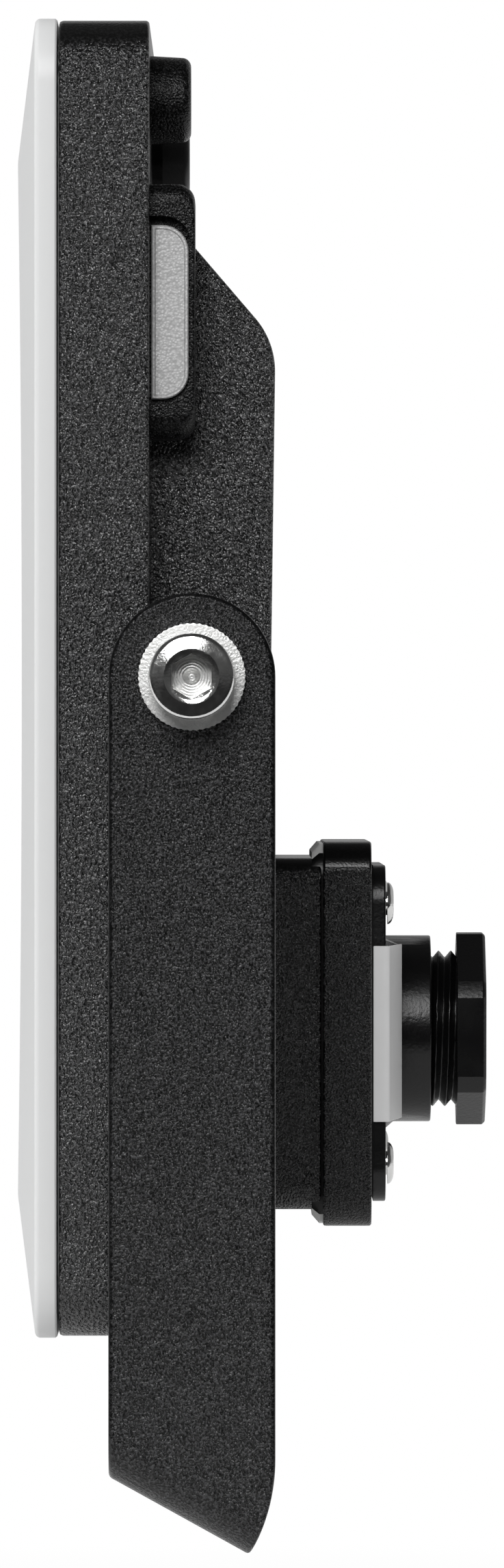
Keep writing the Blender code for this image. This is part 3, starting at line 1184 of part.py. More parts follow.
def make_pivot_fasteners(head):
    """On each side, a toothed washer and a socket-head bolt that clamps the arm to its lug."""
    for side, word in ((-1, "left"), (1, "right")):
        teeth = [
            (WASHER_RADIUS - (WASHER_TOOTH if i % 2 else 0), i * math.pi / WASHER_TEETH)
            for i in range(2 * WASHER_TEETH)
        ]
        outer = [(r * math.cos(t), r * math.sin(t)) for r, t in teeth]
        inner = circle(PIVOT_BORE_RADIUS, 2 * WASHER_TEETH)
        near, far = side * WASHER_X, side * (WASHER_X + WASHER_THICKNESS)
        rings = [yz(outer, near), yz(outer, far), yz(inner, far), yz(inner, near)]
        place_mesh(f"lock_washer_{word}", loft(rings, closed=True), head, ZINC)
        head_end = PIVOT_HEAD_X + PIVOT_HEAD_HEIGHT
        bolt = [
            (PIVOT_BOLT_RADIUS - PIVOT_HEAD_CHAMFER, side * (PIVOT_HEAD_X - PIVOT_BOLT_REACH)),
            (PIVOT_BOLT_RADIUS, side * (PIVOT_HEAD_X - PIVOT_BOLT_REACH + PIVOT_HEAD_CHAMFER)),
            (PIVOT_BOLT_RADIUS, side * PIVOT_HEAD_X),
            (PIVOT_HEAD_RADIUS, side * PIVOT_HEAD_X),
            (PIVOT_HEAD_RADIUS, side * (head_end - PIVOT_HEAD_CHAMFER)),
            (PIVOT_HEAD_RADIUS - PIVOT_HEAD_CHAMFER, side * head_end),
        ]
        made = place_mesh(f"pivot_bolt_{word}", turned_x(bolt), head, ZINC)
        corner = HEX_ACROSS_FLATS / 2 / math.cos(math.pi / 6)
        socket = turned_x([(corner, side * (head_end - HEX_DEPTH)), (corner, side * (head_end + OVERRUN))], 6)
        cut(made, socket)


def nut_outline(inset=0.0):
    """A hexagon across its flats, its corners cut back to a circle."""
    flat, round_radius = NUT_ACROSS_FLATS / 2 - inset, NUT_CORNER_RADIUS - inset
    corner_half = math.acos(min(1, flat / round_radius))
    outline = []
    for side in range(6):
        middle = side * math.pi / 3
        after = middle + math.pi / 3 - corner_half
        outline += arc((0, 0), round_radius, middle + corner_half, after, 2)
    return outline


def make_gland(head):
    """The rubber grommet in the gland's body, and the thrust ring and nut that move on the gland's axis."""
    middle = (0, 0, BOX_Z)
    outer, lip = SPIGOT_BORE_RADIUS - GAP, GROMMET_LIP
    pitch = GROMMET_LENGTH / (2 * GROMMET_LIPS)
    profile = []
    for i in range(GROMMET_LIPS):
        start = GROMMET_FRONT_Y + 2 * i * pitch
        profile += [(outer - lip, start), (outer, start + pitch / 2), (outer, start + pitch * 3 / 2)]
    profile += [(outer - lip, GROMMET_REAR_Y), (GROMMET_BORE_RADIUS + lip, GROMMET_REAR_Y)]
    profile += [(GROMMET_BORE_RADIUS, GROMMET_REAR_Y - lip), (GROMMET_BORE_RADIUS, GROMMET_FRONT_Y)]
    place_mesh("gland_grommet", turned_y(profile, closed=True), head, RUBBER, middle)

    gland_axis = empty("gland_axis", middle, head)
    front = RING_REAR_Y - RING_HEIGHT
    ring = [
        (outer, front), (outer, RING_REAR_Y), (RING_BORE_RADIUS, RING_REAR_Y),
        (RING_BORE_RADIUS, front + GAP), (RING_BORE_RADIUS + GAP, front),
    ]
    place_mesh("gland_thrust_ring", turned_y(ring, closed=True), gland_axis, IVORY)
    rear, edge = NUT_REAR_Y, NUT_EDGE
    rings = [xz(nut_outline(), NUT_FRONT_Y), xz(nut_outline(), rear - edge), xz(nut_outline(edge), rear)]
    nut = place_mesh("gland_nut", loft(rings), gland_axis, BLACK_PLASTIC)
    thread = SPIGOT_RADIUS + GAP
    bore = [
        (thread, NUT_FRONT_Y - OVERRUN), (thread, rear - NUT_FACE), (NUT_MOUTH_RADIUS, rear - NUT_FACE),
        (NUT_MOUTH_RADIUS, rear - edge), (NUT_MOUTH_RADIUS + OVERRUN, rear - edge + OVERRUN),
    ]
    cut(nut, turned_y(bore, FINE_STEPS))
    nut.rotation_euler.y = -NUT_REST_TURN


def build():
    """Makes every piece, with the head hanging on its tilt axis."""
    tilt_axis = empty("tilt_axis", (0, BASE_CENTRE_FORWARD, PIVOT_HEIGHT))
    make_yoke(tilt_axis)
    make_housing(tilt_axis)
    make_lens(tilt_axis)
    make_lens_seal(tilt_axis)
    make_led_board(tilt_axis)
    for i, (x, z) in enumerate(board_holes()):
        front_screw(f"led_board_screw_{i + 1}", BOARD_SCREW_LENGTH, (x, BOARD_FRONT_Y - GAP, z), tilt_axis)
    make_reflector(tilt_axis)
    make_driver(tilt_axis)
    make_led_leads(tilt_axis)
    make_vent(tilt_axis)
    make_rating_plate(tilt_axis)
    make_terminal_box(tilt_axis)
    make_gland_plate(tilt_axis)
    make_gland_label(tilt_axis)
    make_terminals(tilt_axis)
    make_supply_leads(tilt_axis)
    make_pivot_fasteners(tilt_axis)
    make_gland(tilt_axis)


build()
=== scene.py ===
"""Dresses the LED flood light: finishes, fine shapes, light, floor and camera."""
import json
from math import acos, atan2, cos, hypot, pi, radians, sin, sqrt, tan

import bmesh
import bpy
from mathutils import Matrix, Vector


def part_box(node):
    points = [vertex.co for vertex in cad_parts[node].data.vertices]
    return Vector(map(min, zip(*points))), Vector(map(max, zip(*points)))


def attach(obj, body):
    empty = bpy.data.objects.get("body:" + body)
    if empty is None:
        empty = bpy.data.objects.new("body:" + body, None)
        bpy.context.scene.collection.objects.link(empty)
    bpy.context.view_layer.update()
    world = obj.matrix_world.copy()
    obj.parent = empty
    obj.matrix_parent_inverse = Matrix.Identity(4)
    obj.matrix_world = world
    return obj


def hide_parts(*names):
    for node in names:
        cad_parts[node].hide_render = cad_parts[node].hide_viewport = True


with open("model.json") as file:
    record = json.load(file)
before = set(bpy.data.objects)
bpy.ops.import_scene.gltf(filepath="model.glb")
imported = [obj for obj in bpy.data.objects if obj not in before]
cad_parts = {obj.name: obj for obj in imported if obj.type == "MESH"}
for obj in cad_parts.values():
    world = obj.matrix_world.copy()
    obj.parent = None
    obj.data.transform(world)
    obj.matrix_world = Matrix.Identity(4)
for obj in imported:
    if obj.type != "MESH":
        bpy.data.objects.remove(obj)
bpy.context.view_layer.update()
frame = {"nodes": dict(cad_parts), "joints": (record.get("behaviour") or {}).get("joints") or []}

scene = bpy.context.scene

# The tilt axis is the zero of every shape below: X across, Y to the rear, Z up, in metres.
PIVOT = Vector(next(j["pos_m"] for j in frame["joints"] if j["name"] == "head_tilt"))


def place(node):
    """A CAD node's lowest and highest corners."""
    return [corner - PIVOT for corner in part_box(node)]


GAP = 0.0003
OVERRUN = 0.002
SINK = 0.0006

# Head
LENS_LOW, LENS_HIGH = place("front_lens")
HEAD_WIDTH = LENS_HIGH.x - LENS_LOW.x
HEAD_HEIGHT = LENS_HIGH.z - LENS_LOW.z
HEAD_CORNER_RADIUS = 0.01
RIM_Y = LENS_HIGH.y + GAP
TRAY_BACK_Y = RIM_Y + 0.01382
TRAY_EDGE_RADIUS = 0.0006
TRAY_INSET = 0.0003
RIM_WALL = 0.0035
FLOOR_Y = TRAY_BACK_Y - 0.003
SEAL_WIDTH = 0.0012
SEAL_GROOVE_DEPTH = 0.0012

# Heat sink
SINK_REAR_Y = TRAY_BACK_Y + 0.0193
SINK_HALF_WIDTH = HEAD_WIDTH / 2 - 0.015
SINK_TOP_Z = HEAD_HEIGHT / 2 - 0.0267
SINK_BOTTOM_Z = 0.005 - HEAD_HEIGHT / 2
SINK_SLOPE = radians(49.4)
SINK_TOP_RADIUS = 0.0125
SINK_DRAFT = 0.0007
SINK_FOOT_CHAMFER = 0.008
SINK_FOOT_RADIUS = 0.004
SINK_EDGE_BEVEL = 0.0009
BOX_SEAT_Y = SINK_REAR_Y - SINK_DRAFT
CORE_HALF_WIDTH = 0.048
END_WALL = 0.007
RIB_THICKNESS = 0.0024
RIBS_A_SIDE = 5
RIB_FOOT_Y = TRAY_BACK_Y + 0.0008
CAST_EDGE = 0.00035
CAST_FILLET = 0.0005

# Driver pocket, screw holes and vent hole
POCKET_HALF_WIDTH = CORE_HALF_WIDTH - 0.004
POCKET_REAR_Y = BOX_SEAT_Y - 0.0036
POCKET_TOP_Z = SINK_TOP_Z - 0.025
POCKET_BOTTOM_Z = SINK_BOTTOM_Z + SINK_FOOT_CHAMFER + 0.004
POCKET_CORNER_RADIUS = 0.004
POST_RADIUS = 0.0034
TAP_RADIUS = 0.0018
TAP_RUN = 0.0003

# Lugs, rear pad and plate seat
SHEET = 0.003
YOKE_OUTER_HALF = place("yoke_bracket")[1].x
YOKE_INNER_HALF = YOKE_OUTER_HALF - SHEET
LUG_RADIUS = 0.0108
LUG_DRAFT = 0.0006
LUG_EDGE = 0.0008
LUG_BORE_RADIUS = 0.0043
PAD_RADIUS = 0.00645
PAD_HEIGHT = 0.0063
PAD_DRAFT = 0.0004
PAD_EDGE_RADIUS = 0.0014
PAD_X = SINK_HALF_WIDTH - 0.007
PAD_Z = HEAD_HEIGHT / 2 - 0.0053 - PAD_RADIUS
PLATE_LOW, PLATE_HIGH = place("rating_plate")
PLATE_CORNER_RADIUS = 0.004
PLATE_RIM = 0.0005
PLATE_RIM_RISE = 0.00018
PLATE_FOOT = 0.0008
SEAT_TOP_Z = SINK_TOP_Z + 0.0012
SEAT_LOW_Z = SEAT_TOP_Z - 0.0390
SEAT_TOP_RAIL = 0.005
SEAT_BOTTOM_RAIL = 0.0054
SEAT_RECESS = 0.0026
SEAT_FACE_X = PLATE_LOW.x - GAP + SEAT_RECESS
SEAT_REAR_Y = PLATE_HIGH.y + GAP + 0.0007
SEAT_CORNER_RADIUS = 0.0028
SEAT_TOP_RADIUS = 0.003
SEAT_BOTTOM_RADIUS = 0.0038
SEAT_EDGE = 0.0004

# Lens
LENS_EDGE_DEPTH = 0.0033
LENS_RISE = 0.003
LENS_BAND = 0.0215
LENS_WALL = 0.002
LENS_EDGE_RADIUS = 0.0008
LENS_BEND_RADIUS = 12 * LENS_EDGE_RADIUS
LENS_BOW = 0.0006
LENS_BOW_STEPS = 16

# Vent
VENT_LOW, VENT_HIGH = place("vent_plug")
VENT_RADIUS = (VENT_HIGH.x - VENT_LOW.x) / 2
VENT_EDGE_RADIUS = 0.0009
VENT_STEM_RADIUS = 0.0024
VENT_BORE_RADIUS = 0.0008
VENT_SEAT_Y = TRAY_BACK_Y + 0.0018

# Terminal box
BOX_LOW, BOX_HIGH = place("terminal_box_base")
BOX_WIDTH = BOX_HIGH.x - BOX_LOW.x
BOX_HEIGHT = BOX_HIGH.z - BOX_LOW.z
BOX_Z = (BOX_LOW.z + BOX_HIGH.z) / 2
BOX_MIDDLE = Vector((0, 0, BOX_Z))
BOX_WALL = 0.0028
BOX_CORNER_RADIUS = 0.004
BOX_FLOOR_Y = BOX_LOW.y + 0.0022
BOX_POST_RADIUS = 0.0046
BOX_SEAL_LOW, BOX_SEAL_HIGH = place("terminal_box_seal")
BOX_SEAL_CHAMFER = 0.0014
BOX_SEAL_LIP = 0.0003
BOX_RIM_Y = BOX_SEAL_LOW.y - GAP
BOX_CHEEK = 0.001
COVER_LOW, COVER_HIGH = place("terminal_box_cover")
COVER_WIDTH = COVER_HIGH.x - COVER_LOW.x
COVER_HEIGHT = COVER_HIGH.z - COVER_LOW.z
COVER_CORNER_RADIUS = 0.0056
COVER_EDGE = 0.0004
COVER_FACE = 0.0026
COVER_WINDOW = (0.052, 0.034, 0.003)
LEAD_WAY_RADIUS = 0.0058
M3_HOLE_RADIUS = 0.0018
M4_HOLE_RADIUS = 0.0022

# Gland plate
GLAND_LOW, GLAND_HIGH = place("gland_plate")
GLAND_WIDTH = GLAND_HIGH.x - GLAND_LOW.x
GLAND_HEIGHT = GLAND_HIGH.z - GLAND_LOW.z
EAR_RADIUS = 0.0061
EAR_HEIGHT = 0.002
EAR_EDGE = 0.0003
EAR_INSET = 0.0003
SCREW_X = GLAND_WIDTH / 2 - EAR_RADIUS
SCREW_DZ = GLAND_HEIGHT / 2 - EAR_RADIUS
COVER_SCREWS = [(x, BOX_Z + z) for x in (-SCREW_X, SCREW_X) for z in (-SCREW_DZ, SCREW_DZ)]
EAR_TOP_Y = GLAND_LOW.y + EAR_HEIGHT
LABEL_LOW, LABEL_HIGH = place("gland_label")
LABEL_HEIGHT = LABEL_HIGH.z - LABEL_LOW.z
LABEL_THICKNESS = 0.0003
LABEL_REACH = 0.94
LABEL_FOLD = 0.0004
PYRAMID_BASE_HEIGHT = LABEL_HEIGHT + 0.0024
PYRAMID_TOP_HEIGHT = PYRAMID_BASE_HEIGHT - 0.0028
PYRAMID_TOP_WIDTH = 0.034
PYRAMID_TOP_Y = GLAND_LOW.y + 0.0044
BARREL_RADIUS = 0.01515
BARREL_END_Y = GLAND_LOW.y + 0.0097
SPIGOT_END_Y = GLAND_HIGH.y
CABLE_WAY_RADIUS = 0.006

# Gland thread, grommet, ring and nut
THREAD_CREST = 0.01265
THREAD_ROOT = 0.01165
THREAD_PITCH = 0.002
THREAD_FLAT = 0.08
THREAD_START_Y = BARREL_END_Y + 0.00086
THREAD_TURN_STEPS = 96
THREAD_LENGTH_STEPS = 56
GROMMET_LOW, GROMMET_HIGH = place("gland_grommet")
SPIGOT_BORE_RADIUS = GROMMET_HIGH.x + GAP
GROMMET_BORE_RADIUS = 0.0046
GROMMET_LIP = 0.0006
GROMMET_LIPS = 3
GROMMET_FLARE = radians(108)
RING_LOW, RING_HIGH = place("gland_thrust_ring")
RING_BORE_RADIUS = 0.0062
NUT_LOW, NUT_HIGH = place("gland_nut")
NUT_ACROSS_FLATS = 0.0285
NUT_CORNER_RADIUS = 0.01565
NUT_EDGE = 0.0005
NUT_FACE = 0.0009
NUT_MOUTH_RADIUS = 0.0078
NUT_REST_TURN = radians(-4.8)

# Screws, bolts and washers
SCREW_LOW, SCREW_HIGH = place("cover_screw_1")
M4_RADIUS = 0.0019
M4_HEAD_RADIUS = (SCREW_HIGH.x - SCREW_LOW.x) / 2
M4_HEAD_HEIGHT = SCREW_HIGH.y - EAR_TOP_Y - GAP
M4_DOME = 0.75
M4_FLAT = 0.45
CROSS_WIDTH = 0.001
CROSS_REACH = 0.58
CROSS_TAPER = 0.55
CROSS_DEPTH = 0.0009
CROSS_TURN = pi / 5
BOLT_LOW, BOLT_HIGH = place("pivot_bolt_right")
BOLT_RADIUS = 0.004
BOLT_HEAD_RADIUS = BOLT_HIGH.z
BOLT_HEAD_HEIGHT = 0.008
BOLT_CONE_RADIUS = 0.0057
BOLT_CONE_DROP = 0.00036
BOLT_FACE_RADIUS = 0.0042
BOLT_EDGE_START = radians(18)
BOLT_KNURLS = 60
BOLT_KNURL_DEPTH = 0.00016
HEX_CORNER_RADIUS = 0.0060 / 2 / cos(pi / 6)
HEX_DEPTH = 0.004
HEX_DRILL_RADIUS = 0.0015
WASHER_LOW, WASHER_HIGH = place("lock_washer_right")
WASHER_RADIUS = WASHER_HIGH.z
WASHER_TEETH = 54
WASHER_TOOTH = 0.00014
WASHER_TWIST = 0.0001

# Yoke
ARM_WIDTH = 0.0253
BASE_SLANT = atan2(11.83, 21.38)
BASE_CENTRE_FORWARD = PIVOT.y
BEND_RADIUS = 0.006
SWEEP_RADIUS = 0.029
SWEEP_RISE = 0.0088
BASE_HOLE_RADIUS = 0.00525
BASE_SLOT_RADIUS = 0.00375
BASE_SLOT_LENGTH = 0.018
BASE_SLOT_FROM_CENTRE = 0.07
YOKE_EDGE = 0.0005
YOKE_FADE = 0.0007
YOKE_BARE = 0.0003

# Facets
FINE_STEPS = 72
ROUND_STEPS = 48
SMALL_STEPS = 24
CORNER_STEPS = 8
SMOOTH_ANGLE = radians(38)


# Outlines and solids

def arc(centre, radius, start, end, steps):
    """Points along an arc, both ends included."""
    turns = [start + (end - start) * i / steps for i in range(steps + 1)]
    return [(centre[0] + radius * cos(t), centre[1] + radius * sin(t)) for t in turns]


def rounded(corners, steps=CORNER_STEPS):
    """A line through (a, b, radius) corners, each rounded by its radius."""
    outline = []
    for i, (a, b, radius) in enumerate(corners):
        here = Vector((a, b))
        if radius <= 0:
            outline.append((a, b))
            continue
        before = (Vector(corners[i - 1][:2]) - here).normalized()
        after = (Vector(corners[(i + 1) % len(corners)][:2]) - here).normalized()
        half = before.angle(after) / 2
        centre = here + (before + after).normalized() * radius / sin(half)
        first = here + before * radius / tan(half) - centre
        last = here + after * radius / tan(half) - centre
        start = atan2(first.y, first.x)
        sweep = first.angle_signed(last)
        outline += arc(centre, radius, start, start - sweep, steps)
    return outline


def rectangle(width, height, radius=0.0, steps=CORNER_STEPS):
    """A centred rectangle with rounded corners."""
    a, b = width / 2, height / 2
    return rounded([(a, b, radius), (-a, b, radius), (-a, -b, radius), (a, -b, radius)], steps)


def circle(radius, steps=ROUND_STEPS):
    return arc((0, 0), radius, 0, 2 * pi * (steps - 1) / steps, steps - 1)


def xz(points, y):
    """An outline in X and Z, at a depth Y."""
    return [Vector((a, y, b)) for a, b in points]


def yz(points, x):
    """An outline in Y and Z, at a distance X."""
    return [Vector((x, a, b)) for a, b in points]


def around(count):
    """Even turns about a circle."""
    return [2 * pi * i / count for i in range(count)]


def loft(rings, closed=False):
    """A solid through rings of equally many points, capped or closed on itself."""
    shape = bmesh.new()
    made = [[shape.verts.new(point) for point in ring] for ring in rings]
    count = len(made[0])
    for low, high in zip(made, made[1:] + made[:1] if closed else made[1:]):
        for i in range(count):
            j = (i + 1) % count
            shape.faces.new((low[i], low[j], high[j], high[i]))
    if not closed:
        shape.faces.new(made[0])
        shape.faces.new(made[-1])
    bmesh.ops.recalc_face_normals(shape, faces=shape.faces)
    return shape


def prism_y(outline, front, rear):
    return loft([xz(outline, front), xz(outline, rear)])


def prism_x(outline, left, right):
    return loft([yz(outline, left), yz(outline, right)])


def prism_z(outline, low, high):
    return loft([[Vector((a, b, z)) for a, b in outline] for z in (low, high)])


def cuboid(low, high):
    """A cuboid between two corners."""
    outline = [(low[0], low[2]), (high[0], low[2]), (high[0], high[2]), (low[0], high[2])]
    return prism_y(outline, low[1], high[1])


def turned_y(profile, steps=ROUND_STEPS, closed=False):
    """A turned solid about Y through (radius, y) stations, or a closed ring."""
    return loft([xz(circle(radius, steps), y) for radius, y in profile], closed)


def turned_x(profile, steps=ROUND_STEPS):
    """A turned solid about X."""
    return loft([yz(circle(radius, steps), x) for radius, x in profile])


def moved(shape, offset):
    bmesh.ops.translate(shape, verts=shape.verts, vec=offset)
    return shape


def spun(shape, angle, axis):
    bmesh.ops.rotate(shape, verts=shape.verts, matrix=Matrix.Rotation(angle, 3, axis))
    return shape


def joined(shapes):
    """Several shapes as one."""
    whole = bmesh.new()
    for shape in shapes:
        mesh = bpy.data.meshes.new("joined")
        shape.to_mesh(mesh)
        shape.free()
        whole.from_mesh(mesh)
        bpy.data.meshes.remove(mesh)
    return whole


def bars(radius, front, rear, places):
    """Round bars along Y at places in X and Z, as one shape."""
    profile = [(radius, front), (radius, rear)]
    return joined([moved(turned_y(profile, SMALL_STEPS), (x, 0, z)) for x, z in places])


def insets(width, height, radius, least=0.0):
    """Gives a rounded rectangle's outline at any inset."""
    def outline(inset, steps=CORNER_STEPS):
        return rectangle(width - 2 * inset, height - 2 * inset, max(radius - inset, least), steps)
    return outline


def eased_edge(radius, rear, steps):
    """The insets and depths round a rear edge."""
    turns = [pi / 2 * i / steps for i in range(steps + 1)]
    return [(radius * (1 - cos(t)), rear - radius * (1 - sin(t))) for t in turns]


def eased_prism(ring, front, rear, edge, both=False):
    """A prism along Y with its rear edge, or both, rounded."""
    stations = eased_edge(edge, rear, CORNER_STEPS // 2)
    start = [(inset, front + rear - y) for inset, y in stations[::-1]] if both else [(0, front)]
    return loft([xz(ring(inset), y) for inset, y in start + stations])


def ring_profile(outer, inner, low, high, edge, steps):
    """The section of a turned ring with rounded edges."""
    return rounded([(outer, low, edge), (outer, high, edge), (inner, high, edge), (inner, low, edge)], steps)


def put(name, data):
    """An object in the scene."""
    made = bpy.data.objects.new(name, data)
    scene.collection.objects.link(made)
    return made


def new_piece(name, shape, finish=None):
    """An object from a shape about the tilt axis, put in the part's frame."""
    moved(shape, PIVOT)
    bmesh.ops.recalc_face_normals(shape, faces=shape.faces)
    if shape.calc_volume(signed=True) < 0:
        bmesh.ops.reverse_faces(shape, faces=shape.faces)
    mesh = bpy.data.meshes.new(name)
    shape.to_mesh(mesh)
    shape.free()
    made = put(name, mesh)
    if finish:
        mesh.materials.append(FINISHES[finish])
    return made


def combine(target, operation, shape):
    """Adds a shape to the target or cuts it away."""
    tool = new_piece(f"{target.name}_tool", shape)
    step = target.modifiers.new(tool.name, "BOOLEAN")
    step.operation = operation
    step.solver = "EXACT"
    step.object = tool


def add(target, shape):
    combine(target, "UNION", shape)


def cut(target, shape):
    combine(target, "DIFFERENCE", shape)


def soften(target, width, segments=3, angle=radians(32)):
    """Rounds the edges made so far."""
    step = target.modifiers.new("rounded_edges", "BEVEL")
    step.width = width
    step.segments = segments
    step.limit_method = "ANGLE"
    step.angle_limit = angle
    step.use_clamp_overlap = False


def finished(made, body, slot, *nodes):
    """Applies a piece's steps and says what it rides on and what it stands for; the slot argument is not
    used.
    """
    tools = [step.object for step in made.modifiers if step.type == "BOOLEAN"]
    mesh = bpy.data.meshes.new_from_object(made.evaluated_get(bpy.context.evaluated_depsgraph_get()))
    made.modifiers.clear()
    made.data = mesh
    mesh.name = made.name
    mesh.shade_smooth()
    mesh.set_sharp_from_angle(angle=SMOOTH_ANGLE)
    even = made.modifiers.new("even_normals", "WEIGHTED_NORMAL")
    even.keep_sharp = True
    for tool in tools:
        bpy.data.objects.remove(tool)
    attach(made, body)
    if nodes:
        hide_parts(*nodes)


def refinish(made, finish, where):
    """Gives the faces that pass a test another finish."""
    made.data.materials.append(FINISHES[finish])
    for face in made.data.polygons:
        face.material_index = int(where(face))


# Materials

def new_material(name, colour, roughness, metallic=0.0, **sockets):
    """A material whose even values are set on its shader."""
    finish = bpy.data.materials.new(name)
    finish.use_nodes = True
    sockets = {"Base_Color": (*colour, 1), "Roughness": roughness, "Metallic": metallic, **sockets}
    for socket, value in sockets.items():
        shader_of(finish).inputs[socket.replace("_", " ")].default_value = value
    return finish


def node(owner, kind, inputs=None, **settings):
    """Adds a node to a material or world, and links or sets its inputs."""
    tree = owner.node_tree
    made = tree.nodes.new(f"ShaderNode{kind}")
    for setting, value in settings.items():
        setattr(made, setting, value)
    for socket, value in (inputs or {}).items():
        if isinstance(value, bpy.types.NodeSocket):
            tree.links.new(value, made.inputs[socket])
        else:
            made.inputs[socket].default_value = value
    return made


def shader_of(finish):
    return finish.node_tree.nodes["Principled BSDF"]


def local(finish):
    """The piece's own coordinates, in metres."""
    return node(finish, "TexCoord").outputs["Object"]


def vary(finish, socket, value):
    finish.node_tree.links.new(value, shader_of(finish).inputs[socket])


def bumped(finish, height, distance):
    """Raises the surface by a height pattern times a distance in metres."""
    bump = node(finish, "Bump", {"Height": height, "Distance": distance, "Strength": 1.0})
    vary(finish, "Normal", bump.outputs["Normal"])


def noise(finish, size, detail=2.0, vector=None):
    """Noise whose features are about this size in metres."""
    inputs = {"Vector": vector or local(finish), "Scale": 1 / size, "Detail": detail}
    return node(finish, "TexNoise", inputs).outputs["Fac"]


def spread(owner, value, low, high, new_low, new_high):
    """Maps a value's range to another."""
    inputs = {"Value": value, "From Min": low, "From Max": high, "To Min": new_low, "To Max": new_high}
    return node(owner, "MapRange", inputs).outputs["Result"]


def sums(owner, operation, first, second):
    return node(owner, "Math", {0: first, 1: second}, operation=operation).outputs[0]


def shades(finish, value, dark, light):
    """Colours the surface between two colours."""
    ramp = node(finish, "ValToRGB", {"Fac": value})
    for element, colour in zip(ramp.color_ramp.elements, (dark, light)):
        element.color = (*colour, 1)
    vary(finish, "Base Color", ramp.outputs["Color"])


def pebbled(name, colour, roughness, cell, depth, gloss, smooth=None):
    """Powder coat with rounded grains and smooth places. The colour paints shade into the valleys and glints
    onto the grain tops; where the grain fades out, the dark valley colour stays as painted shade.
    """
    finish = new_material(name, colour, roughness, Specular_IOR_Level=gloss)
    at = local(finish)
    height = noise(finish, cell, 1.5, at)
    grain = spread(finish, height, 0.46, 0.68, 0.0, 1.0)
    if smooth:
        keep = smooth(finish, at)
        height = sums(finish, "MULTIPLY", height, keep)
        grain = sums(finish, "MULTIPLY", grain, keep)
    bumped(finish, height, depth)
    # Painted shade and glints: valleys at a quarter of the coat's colour, grain tops at ten times it.
    shades(finish, grain, tuple(c / 4 for c in colour), tuple(10 * c for c in colour))
    vary(finish, "Roughness", spread(finish, grain, 0.0, 1.0, roughness + 0.04, roughness - 0.02))
    return finish


def smooth_shaded_above(level, fade, least):
    """Fades the grain and its painted glints out above a height, so the top keeps the dark valley colour as
    painted shade.
    """
    def keep(finish, at):
        height = node(finish, "SeparateXYZ", {0: at}).outputs["Z"]
        return spread(finish, height, PIVOT.z + level, PIVOT.z + level + fade, 1.0, least)
    return keep


def about_pivot(finish, at):
    """Coordinates from the tilt axis."""
    return node(finish, "VectorMath", {0: at, 1: tuple(PIVOT)}, operation="SUBTRACT").outputs[0]


def smooth_shaded_rim(finish, at):
    """Fades the grain and its painted glints out along the yoke's sheared edges, leaving a dark rim of
    painted shade.
    """
    part = node(finish, "SeparateXYZ", {0: about_pivot(finish, at)}).outputs
    above = sums(finish, "MAXIMUM", part["Z"], 0.0)
    squares = [sums(finish, "MULTIPLY", value, value) for value in (part["Y"], above)]
    reach = sums(finish, "SQRT", sums(finish, "ADD", *squares), 0.0)
    return spread(finish, reach, ARM_WIDTH / 2 - YOKE_FADE, ARM_WIDTH / 2 - YOKE_BARE, 1.0, 0.1)


def plain_plastic(name, colour, roughness, grain=0.00004, **sockets):
    """Moulded plastic or rubber with a faint surface and uneven gloss."""
    finish = new_material(name, colour, roughness, **sockets)
    bumped(finish, noise(finish, 0.0006, 3.0), grain)
    patches = noise(finish, 0.009, 3.0)
    vary(finish, "Roughness", spread(finish, patches, 0.3, 0.7, roughness - 0.05, roughness + 0.07))
    return finish


def turned_metal(name, colour, roughness, grain=0.00002, size=0.0004, rings=0.0):
    """Plated steel with fine marks, a few dull spots and, in a socket, turned rings."""
    finish = new_material(name, colour, roughness, 1.0)
    marks = noise(finish, size, 4.0)
    if rings:
        inputs = {"Vector": about_pivot(finish, local(finish)), "Scale": pi / 10 / rings, "Distortion": 0.6}
        wave = node(finish, "TexWave", inputs, wave_type="RINGS", rings_direction="X")
        marks = sums(finish, "ADD", marks, wave.outputs["Fac"])
    bumped(finish, marks, grain)
    spots = noise(finish, 0.0016, 4.0)
    vary(finish, "Roughness", spread(finish, spots, 0.35, 0.7, roughness - 0.02, roughness + 0.07))
    shades(finish, spots, tuple(0.88 * c for c in colour), colour)
    return finish


